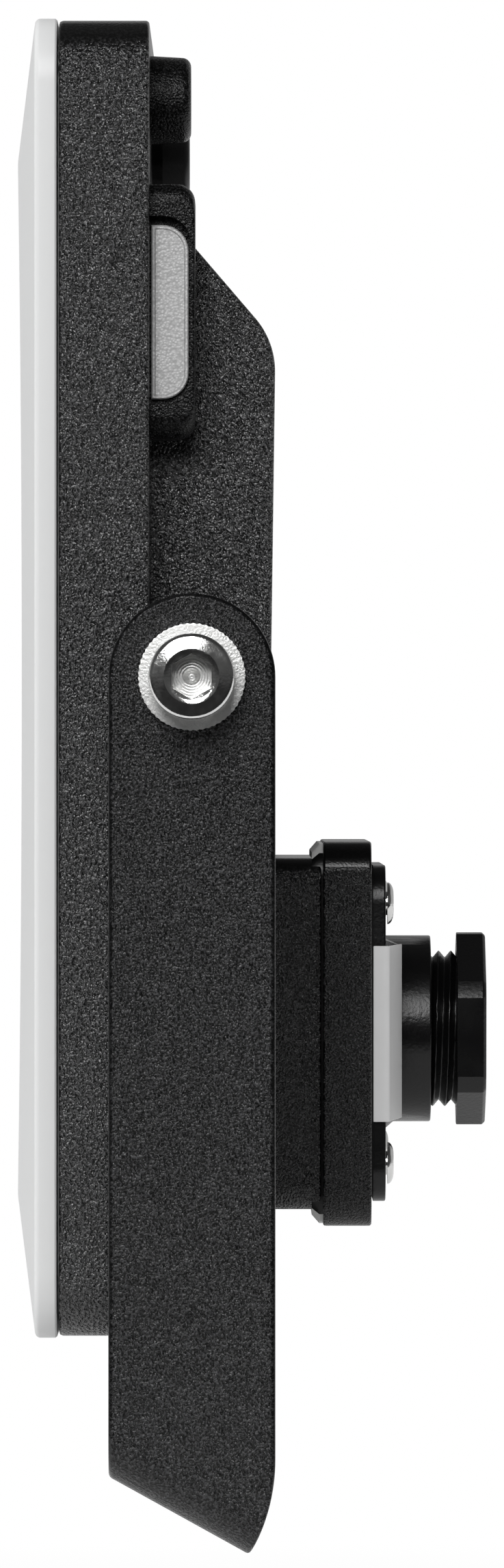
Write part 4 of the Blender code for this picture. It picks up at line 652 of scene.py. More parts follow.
def make_materials():
    """The finishes by name, of each slot and of parts that differ from it."""
    # Painted shade: above these heights the housing's and the box's tops keep the dark valley colour.
    top_edge = smooth_shaded_above(HEAD_HEIGHT / 2 - 0.0052, 0.0020, 0.1)
    box_top = smooth_shaded_above(BOX_Z + BOX_HEIGHT / 2 - 0.0024, 0.0010, 0.08)

    lens = new_material(
        "frosted_lens", (0.71, 0.715, 0.715), 0.42, Subsurface_Weight=0.25, Subsurface_Scale=0.004,
        Subsurface_Radius=(1.0, 1.0, 1.0), IOR=1.55)
    bumped(lens, noise(lens, 0.0003), 0.00001)

    foil = new_material("silver_foil", (0.52, 0.52, 0.52), 0.42, 0.35)
    inputs = {"Vector": local(foil), "Scale": 1 / 0.00038, "Smoothness": 0.5, "Randomness": 1.0}
    cells = node(foil, "TexVoronoi", inputs, feature="SMOOTH_F1")
    leather_and_shade = spread(foil, cells.outputs["Distance"], 0.1, 0.8, 1.0, 0.0)
    bumped(foil, leather_and_shade, 0.000018)
    # Painted shade and highlight: the emboss's valleys are coloured darker and its raised cells lighter.
    shades(foil, leather_and_shade, (0.42, 0.42, 0.42), (0.62, 0.62, 0.62))

    label = new_material("pale_label", (0.90, 0.90, 0.90), 0.42)
    shades(label, noise(label, 0.004, 4.0), (0.90, 0.90, 0.90), (0.97, 0.97, 0.97))
    bumped(label, noise(label, 0.0008), 0.00001)

    board = plain_plastic("green_board", (0.03, 0.16, 0.07), 0.35)
    shades(board, noise(board, 0.003, 6.0), (0.022, 0.13, 0.055), (0.04, 0.20, 0.09))

    made = [
        lens, foil, label, board,
        pebbled("powder_coat", (0.006, 0.006, 0.0062), 0.17, 0.00046, 0.00052, 0.9, top_edge),
        pebbled("smooth_coat", (0.0022, 0.0022, 0.0023), 0.24, 0.00034, 0.00020, 0.26),
        pebbled("yoke_coat", (0.0045, 0.0045, 0.0047), 0.19, 0.00038, 0.00036, 0.42, smooth_shaded_rim),
        # The box's and the cover's coats are darker copies of the powder coat: painted shade, as the box lies
        # in the shadow of the sink and the arm.
        pebbled("box_coat_shaded", (0.0032, 0.0032, 0.0033), 0.20, 0.00038, 0.00038, 0.6, box_top),
        pebbled("cover_coat_shaded", (0.003, 0.003, 0.0031), 0.19, 0.00033, 0.00034, 0.42, box_top),
        plain_plastic("black_plastic", (0.0035, 0.0035, 0.0037), 0.27, Specular_IOR_Level=0.38),
        plain_plastic("dull_plastic", (0.028, 0.028, 0.0285), 0.42),
        plain_plastic("rubber", (0.013, 0.013, 0.013), 0.62, 0.00006),
        plain_plastic("silicone", (0.72, 0.72, 0.71), 0.40),
        plain_plastic("white_board", (0.82, 0.82, 0.80), 0.35, 0.00001),
        plain_plastic("ferrite", (0.035, 0.035, 0.037), 0.5, 0.00008),
        plain_plastic("capacitor_can", (0.02, 0.03, 0.06), 0.3),
        plain_plastic("ivory_plastic", (0.72, 0.69, 0.60), 0.4),
        turned_metal("zinc", (0.80, 0.80, 0.79), 0.13),
        turned_metal("zinc_matt", (0.88, 0.88, 0.87), 0.45, 0.00009, 0.00035),
        turned_metal("zinc_turned", (0.85, 0.85, 0.84), 0.38, 0.00003, 0.0003, 0.00042),
    ]
    leads = {
        "brown": (0.10, 0.035, 0.015), "blue": (0.01, 0.05, 0.25), "green": (0.10, 0.35, 0.03),
        "red": (0.45, 0.02, 0.02), "black": (0.01, 0.01, 0.01),
    }
    made += [plain_plastic(f"{name}_lead", colour, 0.4) for name, colour in leads.items()]
    return {slot_name(finish): finish for finish in made}


def slot_name(finish):
    return finish.name.split(".")[0]


FINISHES = make_materials()


def finish_cad_nodes():
    """Gives the CAD nodes that stay the finish of their slots."""
    for made in frame["nodes"].values():
        for slot in made.material_slots:
            slot.material = FINISHES[slot_name(slot.material)]


# Housing

head_outline = insets(HEAD_WIDTH, HEAD_HEIGHT, HEAD_CORNER_RADIUS, LENS_EDGE_RADIUS)


def sink_outline():
    """The sink from the side: sloped top, rounded shoulder, flat rear, chamfered foot."""
    start_y = (FLOOR_Y + TRAY_BACK_Y) / 2
    top_z = SINK_TOP_Z + (TRAY_BACK_Y - start_y) * tan(SINK_SLOPE)
    shoulder_z = top_z - (SINK_REAR_Y - start_y) * tan(SINK_SLOPE)
    return rounded([
        (start_y, top_z, 0), (start_y, SINK_BOTTOM_Z, 0), (TRAY_BACK_Y, SINK_BOTTOM_Z, 0),
        (BOX_SEAT_Y, SINK_BOTTOM_Z + SINK_FOOT_CHAMFER, SINK_FOOT_RADIUS), (BOX_SEAT_Y, 0, 0),
        (SINK_REAR_Y, shoulder_z, SINK_TOP_RADIUS),
    ], 12)


def sink_block():
    shape = prism_x(sink_outline(), -SINK_HALF_WIDTH, SINK_HALF_WIDTH)
    ends = [e for e in shape.edges if abs(e.verts[0].co.x - e.verts[1].co.x) < SINK]
    rear = [e for e in ends if max(v.co.y for v in e.verts) > TRAY_BACK_Y + SINK]
    bmesh.ops.bevel(shape, geom=rear, offset=SINK_EDGE_BEVEL, segments=3, profile=0.5, affect="EDGES")
    return shape


def rib_slots():
    """The gaps between the ribs, on both sides of the core."""
    outer = SINK_HALF_WIDTH - END_WALL
    width = (outer - CORE_HALF_WIDTH - RIBS_A_SIDE * RIB_THICKNESS) / (RIBS_A_SIDE + 1)
    starts = [CORE_HALF_WIDTH + i * (width + RIB_THICKNESS) for i in range(RIBS_A_SIDE + 1)]
    slots = [(x, x + width) for x in starts] + [(-x - width, -x) for x in starts]
    low_z, high_z = SINK_BOTTOM_Z - SINK, SINK_TOP_Z + SINK
    return joined([
        cuboid((low, RIB_FOOT_Y, low_z), (high, SINK_REAR_Y + OVERRUN, high_z)) for low, high in slots
    ])


def tray():
    """The tray, with a rounded back edge and a chamfered rim."""
    stations = [(CAST_EDGE, RIM_Y), (0, RIM_Y + CAST_EDGE)] + eased_edge(TRAY_EDGE_RADIUS, TRAY_BACK_Y, 6)
    return loft([xz(head_outline(TRAY_INSET + inset), y) for inset, y in stations])


def lug(side):
    """A round lug with a fillet at its root and an eased edge."""
    root = SINK_HALF_WIDTH - END_WALL / 2
    end = YOKE_INNER_HALF - GAP
    foot = LUG_RADIUS + LUG_DRAFT
    profile = rounded([
        (foot + 2 * CAST_FILLET, root, 0), (foot + 2 * CAST_FILLET, SINK_HALF_WIDTH - SINK, 0),
        (foot, SINK_HALF_WIDTH, CAST_FILLET), (LUG_RADIUS, end, LUG_EDGE), (LUG_BORE_RADIUS, end, 0),
    ])
    return turned_x([(radius, side * x) for radius, x in profile], FINE_STEPS)


def rear_pad():
    rear = TRAY_BACK_Y + PAD_HEIGHT
    foot = (PAD_RADIUS + PAD_DRAFT, TRAY_BACK_Y - SINK, 0)
    profile = rounded([foot, (PAD_RADIUS, rear, PAD_EDGE_RADIUS), (SINK, rear, 0)])
    return moved(turned_y(profile), (PAD_X, 0, PAD_Z))


def plate_seat():
    """The rating plate's cast seat, before its recess is cut."""
    root = SINK_HALF_WIDTH - END_WALL / 2

    def ring(drop, y):
        into = max(0, SEAT_EDGE - (SEAT_REAR_Y - y))
        face = SEAT_FACE_X - SEAT_EDGE + sqrt(SEAT_EDGE ** 2 - into ** 2)
        low, high = SEAT_LOW_Z + drop, SEAT_TOP_Z - drop
        return xz(rounded([
            (root, high, 0), (root, low, 0), (face, low, SEAT_BOTTOM_RADIUS), (face, high, SEAT_TOP_RADIUS),
        ]), y)

    stations = [(0, TRAY_BACK_Y - SINK)] + eased_edge(SEAT_CORNER_RADIUS, SEAT_REAR_Y, 12)
    return loft([ring(drop, y) for drop, y in stations])


def plate_outline(front, rear, low, high, radius):
    """The plate or its recess: square in front, round corners at the rear."""
    return rounded([(front, high, 0), (front, low, 0), (rear, low, radius), (rear, high, radius)])


def seat_recess():
    low, high = SEAT_LOW_Z + SEAT_BOTTOM_RAIL, SEAT_TOP_Z - SEAT_TOP_RAIL
    outline = plate_outline(TRAY_BACK_Y, PLATE_HIGH.y + GAP, low, high, PLATE_CORNER_RADIUS)
    return prism_x(outline, SEAT_FACE_X - SEAT_RECESS, SEAT_FACE_X + OVERRUN)


def seal_groove():
    middle, half = RIM_WALL / 2, SEAL_WIDTH / 2 + GAP
    outer, inner = head_outline(middle - half, 5), head_outline(middle + half, 5)
    front, floor = RIM_Y - OVERRUN, RIM_Y + SEAL_GROOVE_DEPTH
    return loft([xz(outer, front), xz(outer, floor), xz(inner, floor), xz(inner, front)], closed=True)


def axis_of(name):
    """The X and Z of a CAD node's middle."""
    low, high = place(name)
    return (low.x + high.x) / 2, (low.z + high.z) / 2


def blind_hole(name):
    """A hole round a fastener of the CAD."""
    low, high = place(name)
    return bars(TAP_RADIUS, low.y - TAP_RUN, high.y + TAP_RUN, [axis_of(name)])


def make_housing():
    """The die-cast housing with its sink, lugs, pad, plate seat and driver pocket."""
    housing = new_piece("housing_casting", tray(), "powder_coat")
    add(housing, sink_block())
    cut(housing, rib_slots())
    soften(housing, CAST_EDGE)
    for side in (-1, 1):
        add(housing, lug(side))
        ends = side * (BOLT_LOW.x - 2 * OVERRUN), side * YOKE_OUTER_HALF
        cut(housing, turned_x([(LUG_BORE_RADIUS, x) for x in ends]))
    add(housing, rear_pad())
    add(housing, plate_seat())
    cut(housing, seat_recess())
    cut(housing, prism_y(head_outline(RIM_WALL), RIM_Y - OVERRUN, FLOOR_Y))
    cut(housing, seal_groove())
    height = POCKET_TOP_Z - POCKET_BOTTOM_Z
    pocket = rectangle(2 * POCKET_HALF_WIDTH, height, POCKET_CORNER_RADIUS)
    pocket = prism_y(pocket, FLOOR_Y - OVERRUN, POCKET_REAR_Y)
    cut(housing, moved(pocket, (0, 0, POCKET_BOTTOM_Z + height / 2)))
    screws = ["driver_screw_1", "driver_screw_2"]
    board_rear = place("driver_board")[1].y + GAP
    add(housing, bars(POST_RADIUS, board_rear, POCKET_REAR_Y + SINK, [axis_of(name) for name in screws]))
    screws = [f"led_board_screw_{i}" for i in (1, 2, 3, 4)] + screws + BOX_SCREWS
    holes = [blind_hole(name) for name in screws]
    holes.append(bars(LEAD_WAY_RADIUS, POCKET_REAR_Y - OVERRUN, BOX_SEAT_Y + OVERRUN, [(0, BOX_Z)]))
    vent = bars(VENT_STEM_RADIUS + GAP, FLOOR_Y - OVERRUN, TRAY_BACK_Y + OVERRUN, [axis_of("vent_plug")])
    cut(housing, joined(holes + [vent]))
    finished(housing, "head", "powder_coat", "main_housing")

    def on_pad_or_seat(face):
        at = face.center - PIVOT
        outside = at.z > SINK_TOP_Z + GAP or at.x > SINK_HALF_WIDTH + GAP and at.z > SEAT_LOW_Z - GAP
        return outside and at.y > TRAY_BACK_Y + GAP

    refinish(housing, "smooth_coat", on_pad_or_seat)


# Lens

def bowed(shape, front):
    """Bows the lens's front inwards between its bevels."""
    reach = HEAD_HEIGHT / 2 - LENS_BAND
    for i in range(LENS_BOW_STEPS + 1):
        level = (0, 0, reach * (2 * i / LENS_BOW_STEPS - 1))
        whole = shape.verts[:] + shape.edges[:] + shape.faces[:]
        bmesh.ops.bisect_plane(shape, geom=whole, plane_co=level, plane_no=(0, 0, 1))
    for vertex in shape.verts:
        ahead = min(max((front - vertex.co.y) / LENS_RISE, 0), 1)
        vertex.co.y += LENS_BOW * ahead * max(0, 1 - (vertex.co.z / reach) ** 2)
    return shape


def make_lens():
    """The frosted lens: a shallow dish with a bevelled band."""
    rear, front = LENS_HIGH.y, LENS_HIGH.y - LENS_EDGE_DEPTH
    edge, bend, middle = LENS_EDGE_RADIUS, LENS_BEND_RADIUS, HEAD_HEIGHT / 4
    outer = rounded([
        (edge / 3, rear, 0), (0, rear - edge / 3, 0), (0, front, edge),
        (LENS_BAND, front - LENS_RISE, bend), (middle, front - LENS_RISE, 0),
    ])
    inner = rounded([
        (middle, front - LENS_RISE + LENS_WALL, 0), (LENS_BAND, front - LENS_RISE + LENS_WALL, bend),
        (RIM_WALL, front + LENS_WALL, edge), (RIM_WALL, rear, 0),
    ]) + [(RIM_WALL, rear + OVERRUN)]
    dish, hollow = [loft([xz(head_outline(inset), y) for inset, y in line]) for line in (outer, inner)]
    lens = new_piece("lens_dish", bowed(dish, front), "frosted_lens")
    cut(lens, bowed(hollow, front + LENS_WALL))
    finished(lens, "head", "frosted_lens", "front_lens")


# Yoke

def yoke_side_outline():
    """The yoke from the side: round top, straight front, swept rear."""
    half = ARM_WIDTH / 2
    base_distance = PIVOT.z * cos(BASE_SLANT) + BASE_CENTRE_FORWARD * sin(BASE_SLANT)
    normal = Vector((-sin(BASE_SLANT), -cos(BASE_SLANT)))
    sweep_centre = Vector((half - SWEEP_RADIUS, SWEEP_RISE - PIVOT.z))
    tip_turn = acos((base_distance - normal.dot(sweep_centre)) / SWEEP_RADIUS)
    tip_angle = atan2(normal.y, normal.x) + tip_turn
    front_z = (-base_distance + half * sin(BASE_SLANT)) / cos(BASE_SLANT)
    outline = arc((0, 0), half, pi, 0, ROUND_STEPS)
    outline += arc(sweep_centre, SWEEP_RADIUS, 0, tip_angle, 2 * CORNER_STEPS)
    return outline + [(-half, front_z)]


def make_yoke():
    """The bent steel strip with its holes, and two slots in the slanted base."""
    outer, inner = YOKE_OUTER_HALF, YOKE_INNER_HALF
    reach, side = PIVOT.z + ARM_WIDTH, outer + OVERRUN

    def tilted(shape, offset=0.0):
        return moved(spun(shape, -BASE_SLANT, "X"), (offset, -BASE_CENTRE_FORWARD, -PIVOT.z))

    def section(half, low, high, radius):
        outline = rounded([(half, high, 0), (-half, high, 0), (-half, low, radius), (half, low, radius)])
        return tilted(prism_y(outline, -high, high))

    yoke = new_piece("yoke_strip", section(outer, 0, reach, BEND_RADIUS), "yoke_coat")
    cut(yoke, section(inner, SHEET, reach + OVERRUN, BEND_RADIUS - SHEET))
    combine(yoke, "INTERSECT", prism_x(yoke_side_outline(), -side, side))
    cut(yoke, turned_x([(LUG_BORE_RADIUS + GAP / 3, -side), (LUG_BORE_RADIUS + GAP / 3, side)]))
    slot_half = BASE_SLOT_LENGTH / 2 - BASE_SLOT_RADIUS
    slot = arc((slot_half, 0), BASE_SLOT_RADIUS, -pi / 2, pi / 2, SMALL_STEPS // 2)
    slot += [(-a, -b) for a, b in slot]
    holes = [(0, circle(BASE_HOLE_RADIUS)), (-BASE_SLOT_FROM_CENTRE, slot), (BASE_SLOT_FROM_CENTRE, slot)]
    for x, outline in holes:
        cut(yoke, tilted(prism_z(outline, -OVERRUN, SHEET + OVERRUN), x))
    soften(yoke, YOKE_EDGE)
    finished(yoke, "yoke", "yoke_coat", "yoke_bracket")


# Terminal box

BOX_SCREWS = ["box_screw_left", "box_screw_right"]
box_outline = insets(BOX_WIDTH, BOX_HEIGHT, BOX_CORNER_RADIUS)
cover_outline = insets(COVER_WIDTH, COVER_HEIGHT, COVER_CORNER_RADIUS)
BOX_INSIDE = rectangle(BOX_WIDTH - 2 * BOX_WALL, BOX_HEIGHT - 2 * BOX_WALL, BOX_WALL / 2)


def at_box(shape):
    return moved(shape, BOX_MIDDLE)


def make_box_base():
    """The terminal box's cast base with its screw posts and holes."""
    outer = eased_prism(box_outline, BOX_LOW.y, BOX_HIGH.y, CAST_EDGE, both=True)
    base = new_piece("terminal_box_casting", at_box(outer), "box_coat_shaded")
    cut(base, at_box(prism_y(box_outline(BOX_WALL), BOX_FLOOR_Y, BOX_RIM_Y + OVERRUN)))
    seat_x, seat_z = BOX_WIDTH / 2 - BOX_CHEEK, BOX_HEIGHT / 2 + OVERRUN
    seat = cuboid((-seat_x, BOX_RIM_Y, -seat_z), (seat_x, BOX_HIGH.y + OVERRUN, seat_z))
    cut(base, at_box(seat))
    add(base, bars(BOX_POST_RADIUS, BOX_FLOOR_Y - SINK, BOX_RIM_Y - GAP, COVER_SCREWS))
    ends = BOX_LOW.y - OVERRUN, BOX_FLOOR_Y + OVERRUN
    cut(base, joined([
        bars(M4_HOLE_RADIUS, BOX_FLOOR_Y, BOX_RIM_Y + OVERRUN, COVER_SCREWS),
        bars(LEAD_WAY_RADIUS, *ends, [(0, BOX_Z)]),
        bars(M3_HOLE_RADIUS, *ends, [axis_of(name) for name in BOX_SCREWS]),
    ]))
    finished(base, "head", "powder_coat", "terminal_box_base")


def make_box_seal():
    """The seal between the box's base and cover, with chamfered lips."""
    near, end = BOX_SEAL_LOW.y - GAP, BOX_SEAL_HIGH.y + GAP
    size = BOX_SEAL_HIGH - BOX_SEAL_LOW

    def outer(drop, y):
        return xz(rectangle(size.x, size.z - 2 * drop, COVER_CORNER_RADIUS - BOX_SEAL_LIP - drop), y)

    rings = [outer(BOX_SEAL_CHAMFER, near), outer(0, BOX_SEAL_HIGH.y - BOX_SEAL_LIP), outer(0, end)]
    rings += [xz(BOX_INSIDE, end), xz(BOX_INSIDE, near)]
    made = new_piece("box_seal_lip", at_box(loft(rings, closed=True)), "silicone")
    cut(made, bars(BOX_POST_RADIUS + GAP, near - OVERRUN, end + OVERRUN, COVER_SCREWS))
    finished(made, "head", "silicone", "terminal_box_seal")
    refinish(made, "black_plastic", lambda face: abs(face.normal.x) > cos(pi / 4))


def cut_openings(target, front, rear):
    """The window and the screw holes of the cover's face."""
    cut(target, at_box(prism_y(rectangle(*COVER_WINDOW), front, rear)))
    cut(target, bars(M4_HOLE_RADIUS, front, rear, COVER_SCREWS))


def make_cover():
    """The cast cover, with a window that the gland plate closes."""
    shape = eased_prism(cover_outline, COVER_LOW.y, COVER_HIGH.y, COVER_EDGE, both=True)
    cover = new_piece("box_cover_casting", at_box(shape), "cover_coat_shaded")
    cut(cover, at_box(prism_y(BOX_INSIDE, COVER_LOW.y - OVERRUN, COVER_HIGH.y - COVER_FACE)))
    cut_openings(cover, COVER_LOW.y, COVER_HIGH.y + OVERRUN)
    finished(cover, "head", "powder_coat", "terminal_box_cover")


# Gland

def thread_radius(turn, y):
    """The radius of a right-handed V thread at a turn and a depth."""
    along = ((y - THREAD_START_Y) / THREAD_PITCH - turn / (2 * pi)) % 1
    shaped = min(max((abs(2 * along - 1) - THREAD_FLAT) / (1 - 2 * THREAD_FLAT), 0), 1)
    return THREAD_ROOT + (THREAD_CREST - THREAD_ROOT) * shaped


def thread_sleeve():
    """The gland's spigot: a helical V thread round a plain bore."""
    start, end = BARREL_END_Y - GAP, SPIGOT_END_Y
    turns = around(THREAD_TURN_STEPS)

    def ring(y, radius):
        return [Vector((radius(t, y) * cos(t), y, radius(t, y) * sin(t))) for t in turns]

    def crest(turn, y):
        return min(thread_radius(turn, y), THREAD_ROOT + max(0, end - y) * 2)

    steps = [start + (end - start) * i / THREAD_LENGTH_STEPS for i in range(THREAD_LENGTH_STEPS + 1)]
    rings = [ring(y, crest) for y in steps]
    rings += [ring(y, lambda turn, y: SPIGOT_BORE_RADIUS + GAP / 10) for y in (end, start)]
    return at_box(loft(rings, closed=True))


def gland_plate_ring(inset):
    """The plate's outline: round corners, and at each side a block for the label."""
    ear_x, block_x = GLAND_WIDTH / 2 - EAR_INSET - inset, GLAND_WIDTH / 2 - inset
    end, foot, label = GLAND_HEIGHT / 2 - inset, PYRAMID_BASE_HEIGHT / 2, LABEL_HEIGHT / 2
    half = [(ear_x, end, EAR_RADIUS - inset), (-ear_x, end, EAR_RADIUS - inset), (-ear_x, foot, 0)]
    half += [(-block_x, label, 0), (-block_x, -label, 0), (-ear_x, -foot, 0)]
    return rounded(half + [(-a, -b, radius) for a, b, radius in half])


def make_gland_plate():
    """The moulded plate with its low pyramid, barrel and threaded spigot."""
    base, above = GLAND_LOW.y - OVERRUN, EAR_TOP_Y + OVERRUN
    slab = eased_prism(gland_plate_ring, GLAND_LOW.y, EAR_TOP_Y, EAR_EDGE)
    plate = new_piece("gland_moulding", at_box(slab), "black_plastic")
    foot = rectangle(GLAND_WIDTH - 2 * EAR_EDGE, PYRAMID_BASE_HEIGHT - 2 * EAR_EDGE)
    top = rectangle(PYRAMID_TOP_WIDTH, PYRAMID_TOP_HEIGHT)
    pyramid = loft([xz(foot, EAR_TOP_Y - SINK), xz(foot, EAR_TOP_Y), xz(top, PYRAMID_TOP_Y)])
    add(plate, at_box(pyramid))
    barrel = rounded([
        (BARREL_RADIUS, EAR_TOP_Y - SINK, 0), (BARREL_RADIUS, BARREL_END_Y, EAR_EDGE),
        (THREAD_ROOT / 2, BARREL_END_Y, 0),
    ])
    add(plate, at_box(turned_y(barrel, FINE_STEPS)))
    stop, end = GROMMET_LOW.y - GAP, SPIGOT_END_Y + OVERRUN
    bore = [(CABLE_WAY_RADIUS, y) for y in (base, stop)] + [(SPIGOT_BORE_RADIUS, y) for y in (stop, end)]
    cut(plate, at_box(turned_y(bore, FINE_STEPS)))
    cut(plate, bars(M4_HOLE_RADIUS, base, above, COVER_SCREWS))
    finished(plate, "head", "black_plastic", "gland_plate")
    finished(new_piece("gland_thread", thread_sleeve(), "black_plastic"), "head", "black_plastic")


def make_gland_label():
    """The bare label, folded from the plate's near edge over the pyramid's slope."""
    side_x = GLAND_WIDTH / 2
    rise = Vector((PYRAMID_TOP_WIDTH / 2 - side_x, PYRAMID_TOP_Y - EAR_TOP_Y))
    slope = rise.normalized()
    outward = Vector((slope.y, -slope.x))

    def line(distance):
        """The plate's near side and slope at a distance, with a rounded fold."""
        lifted = Vector((side_x, EAR_TOP_Y)) + outward * distance
        fold = lifted + slope * (side_x + distance - lifted.x) / slope.x
        high = lifted + rise * LABEL_REACH
        corners = [(side_x + distance, GLAND_LOW.y, 0), (*fold, LABEL_FOLD + distance), (*high, 0)]
        return rounded(corners, 6)

    outline = line(GAP) + line(GAP + LABEL_THICKNESS)[::-1]
    sheet = prism_z(outline, -LABEL_HEIGHT / 2, LABEL_HEIGHT / 2)
    label = new_piece("gland_label_sheet", at_box(sheet), "pale_label")
    soften(label, LABEL_THICKNESS / 3, 2)
    finished(label, "head", "pale_label", "gland_label")


def make_gland_gasket():
    """A thin gasket between the cover and the gland plate."""
    sheet = prism_y(gland_plate_ring(2 * GAP), COVER_HIGH.y, GLAND_LOW.y)
    made = new_piece("gland_gasket", at_box(sheet), "rubber")
    cut_openings(made, COVER_HIGH.y - OVERRUN, GLAND_LOW.y + OVERRUN)
    finished(made, "head", "rubber")


def make_grommet():
    """The rubber grommet with sealing lips outside and a flared bore."""
    outer, lip, flare = GROMMET_HIGH.x, GROMMET_LIP, GROMMET_BORE_RADIUS + 2 * GROMMET_LIP
    low, high = GROMMET_LOW.y, GROMMET_HIGH.y
    pitch = (high - low) / GROMMET_LIPS
    profile = []
    for start in (low + i * pitch for i in range(GROMMET_LIPS)):
        profile += [(outer - lip, start), (outer, start + pitch / 3), (outer, start + pitch * 2 / 3)]
    profile += [(outer - lip, high), (flare, high)]
    profile += arc((flare, high - 2 * lip), 2 * lip, GROMMET_FLARE, pi, 4)
    shape = turned_y(profile + [(GROMMET_BORE_RADIUS, low)], closed=True)
    grommet = new_piece("grommet_rubber", at_box(shape), "rubber")
    finished(grommet, "head", "rubber", "gland_grommet")


def make_thrust_ring():
    profile = ring_profile(RING_HIGH.x, RING_BORE_RADIUS, RING_LOW.y, RING_HIGH.y, GAP, 3)
    shape = at_box(turned_y(profile, FINE_STEPS, closed=True))
    ring = new_piece("thrust_ring_turned", shape, "ivory_plastic")
    finished(ring, "thrust_ring", "ivory_plastic", "gland_thrust_ring")


def make_nut():
    """The hexagon nut: corners cut back to a circle, an eased rear and a round mouth."""
    front, rear = NUT_LOW.y, NUT_HIGH.y

    def hexagon(inset):
        flat, corner = NUT_ACROSS_FLATS / 2 - inset, NUT_CORNER_RADIUS - inset
        half = acos(flat / corner)
        outline = []
        for middle in (side * pi / 3 for side in range(6)):
            outline += arc((0, 0), corner, middle + half, middle + pi / 3 - half, 4)
        return outline

    shape = loft([xz(hexagon(0), front), xz(hexagon(0), rear - NUT_EDGE), xz(hexagon(NUT_EDGE), rear)])
    nut = new_piece("gland_nut_moulding", at_box(shape), "black_plastic")
    thread = THREAD_CREST + GAP
    bore = [
        (thread, front - OVERRUN), (thread, rear - NUT_FACE), (NUT_MOUTH_RADIUS, rear - NUT_FACE),
        (NUT_MOUTH_RADIUS, rear - NUT_EDGE), (NUT_MOUTH_RADIUS + OVERRUN, rear - NUT_EDGE + OVERRUN),
    ]
    cut(nut, at_box(turned_y(bore, FINE_STEPS)))
    soften(nut, GAP / 2, 2, radians(25))
    finished(nut, "nut", "black_plastic", "gland_nut")
    centre = PIVOT + BOX_MIDDLE
    spin = Matrix.Rotation(-NUT_REST_TURN, 4, "Y")
    nut.data.transform(Matrix.Translation(centre) @ spin @ Matrix.Translation(-centre))


# Fasteners

def cross_recess(head_end, turn):
    """A cross-shaped recess that narrows towards its floor."""
    arm, half = M4_HEAD_RADIUS * CROSS_REACH, CROSS_WIDTH / 2
    quarter = [(arm, half), (half, half), (half, arm)]
    outline = []
    for _ in range(4):
        outline += quarter
        quarter = [(-b, a) for a, b in quarter]
    narrow = [(a * CROSS_TAPER, b * CROSS_TAPER) for a, b in outline]
    shape = loft([xz(narrow, head_end - CROSS_DEPTH), xz(outline, head_end), xz(outline, head_end + OVERRUN)])
    return spun(shape, turn, "Y")


def make_cover_screws():
    """The four pan-head screws with cross recesses."""
    seat = EAR_TOP_Y + GAP
    end, dome = seat + M4_HEAD_HEIGHT - GAP, M4_HEAD_HEIGHT * M4_DOME
    for i, (x, z) in enumerate(COVER_SCREWS):
        low = place(f"cover_screw_{i + 1}")[0].y
        profile = [(M4_RADIUS - GAP, low), (M4_RADIUS, low + GAP), (M4_RADIUS, seat), (M4_HEAD_RADIUS, seat)]
        profile += [
            (M4_HEAD_RADIUS * (M4_FLAT + (1 - M4_FLAT) * cos(t)), end - dome + dome * sin(t))
            for t in (pi / 2 * k / 8 for k in range(9))
        ]
        screw = new_piece(f"cover_screw_head_{i + 1}", moved(turned_y(profile), (x, 0, z)), "zinc")
        cut(screw, moved(cross_recess(end, CROSS_TURN * i), (x, 0, z)))
        finished(screw, "head", "zinc", f"cover_screw_{i + 1}")


def make_pivot_bolt(side, word):
    """A socket-head bolt: knurled, with a shallow cone round its hexagon socket."""
    end, seat, steps = BOLT_HIGH.x, BOLT_HIGH.x - BOLT_HEAD_HEIGHT, 2 * BOLT_KNURLS
    cone_end, edge = end - BOLT_CONE_DROP, BOLT_HEAD_RADIUS - BOLT_CONE_RADIUS
    face_drop = BOLT_FACE_RADIUS - HEX_CORNER_RADIUS
    shank = [(BOLT_RADIUS - GAP * 2, BOLT_LOW.x), (BOLT_RADIUS, BOLT_LOW.x + GAP * 2), (BOLT_RADIUS, seat)]
    shank.append((BOLT_HEAD_RADIUS - 2 * GAP, seat))
    knurled = [(BOLT_HEAD_RADIUS, seat + 2 * GAP), (BOLT_HEAD_RADIUS, cone_end - 4 * GAP)]
    face = arc((BOLT_CONE_RADIUS, cone_end - edge), edge, BOLT_EDGE_START, pi / 2, 6)
    face += [(BOLT_FACE_RADIUS, end), (HEX_CORNER_RADIUS, end - face_drop / 2)]

    def ring(radius, x, depth=0.0):
        radii = [radius - depth * (i % 2) for i in range(steps)]
        return yz([(r * cos(t), r * sin(t)) for r, t in zip(radii, around(steps))], side * x)

    rings = [ring(*station) for station in shank]
    rings += [ring(*station, BOLT_KNURL_DEPTH) for station in knurled] + [ring(*station) for station in face]
    bolt = new_piece(f"socket_bolt_{word}", loft(rings), "zinc")
    socket = turned_x([(HEX_CORNER_RADIUS, side * x) for x in (end - HEX_DEPTH, end + OVERRUN)], 6)
    cut(bolt, spun(socket, pi / 6, "X"))
    floor = end - HEX_DEPTH
    drill = [(HEX_DRILL_RADIUS / 3, floor - HEX_DRILL_RADIUS), (HEX_DRILL_RADIUS, floor + GAP)]
    cut(bolt, turned_x([(radius, side * x) for radius, x in drill], SMALL_STEPS))
    finished(bolt, "head", "zinc", f"pivot_bolt_{word}")

    def in_socket(face):
        at = face.center - PIVOT
        deep = seat - OVERRUN < abs(at.x) < end - face_drop
        return deep and hypot(at.y, at.z) < HEX_CORNER_RADIUS

    refinish(bolt, "zinc_turned", in_socket)


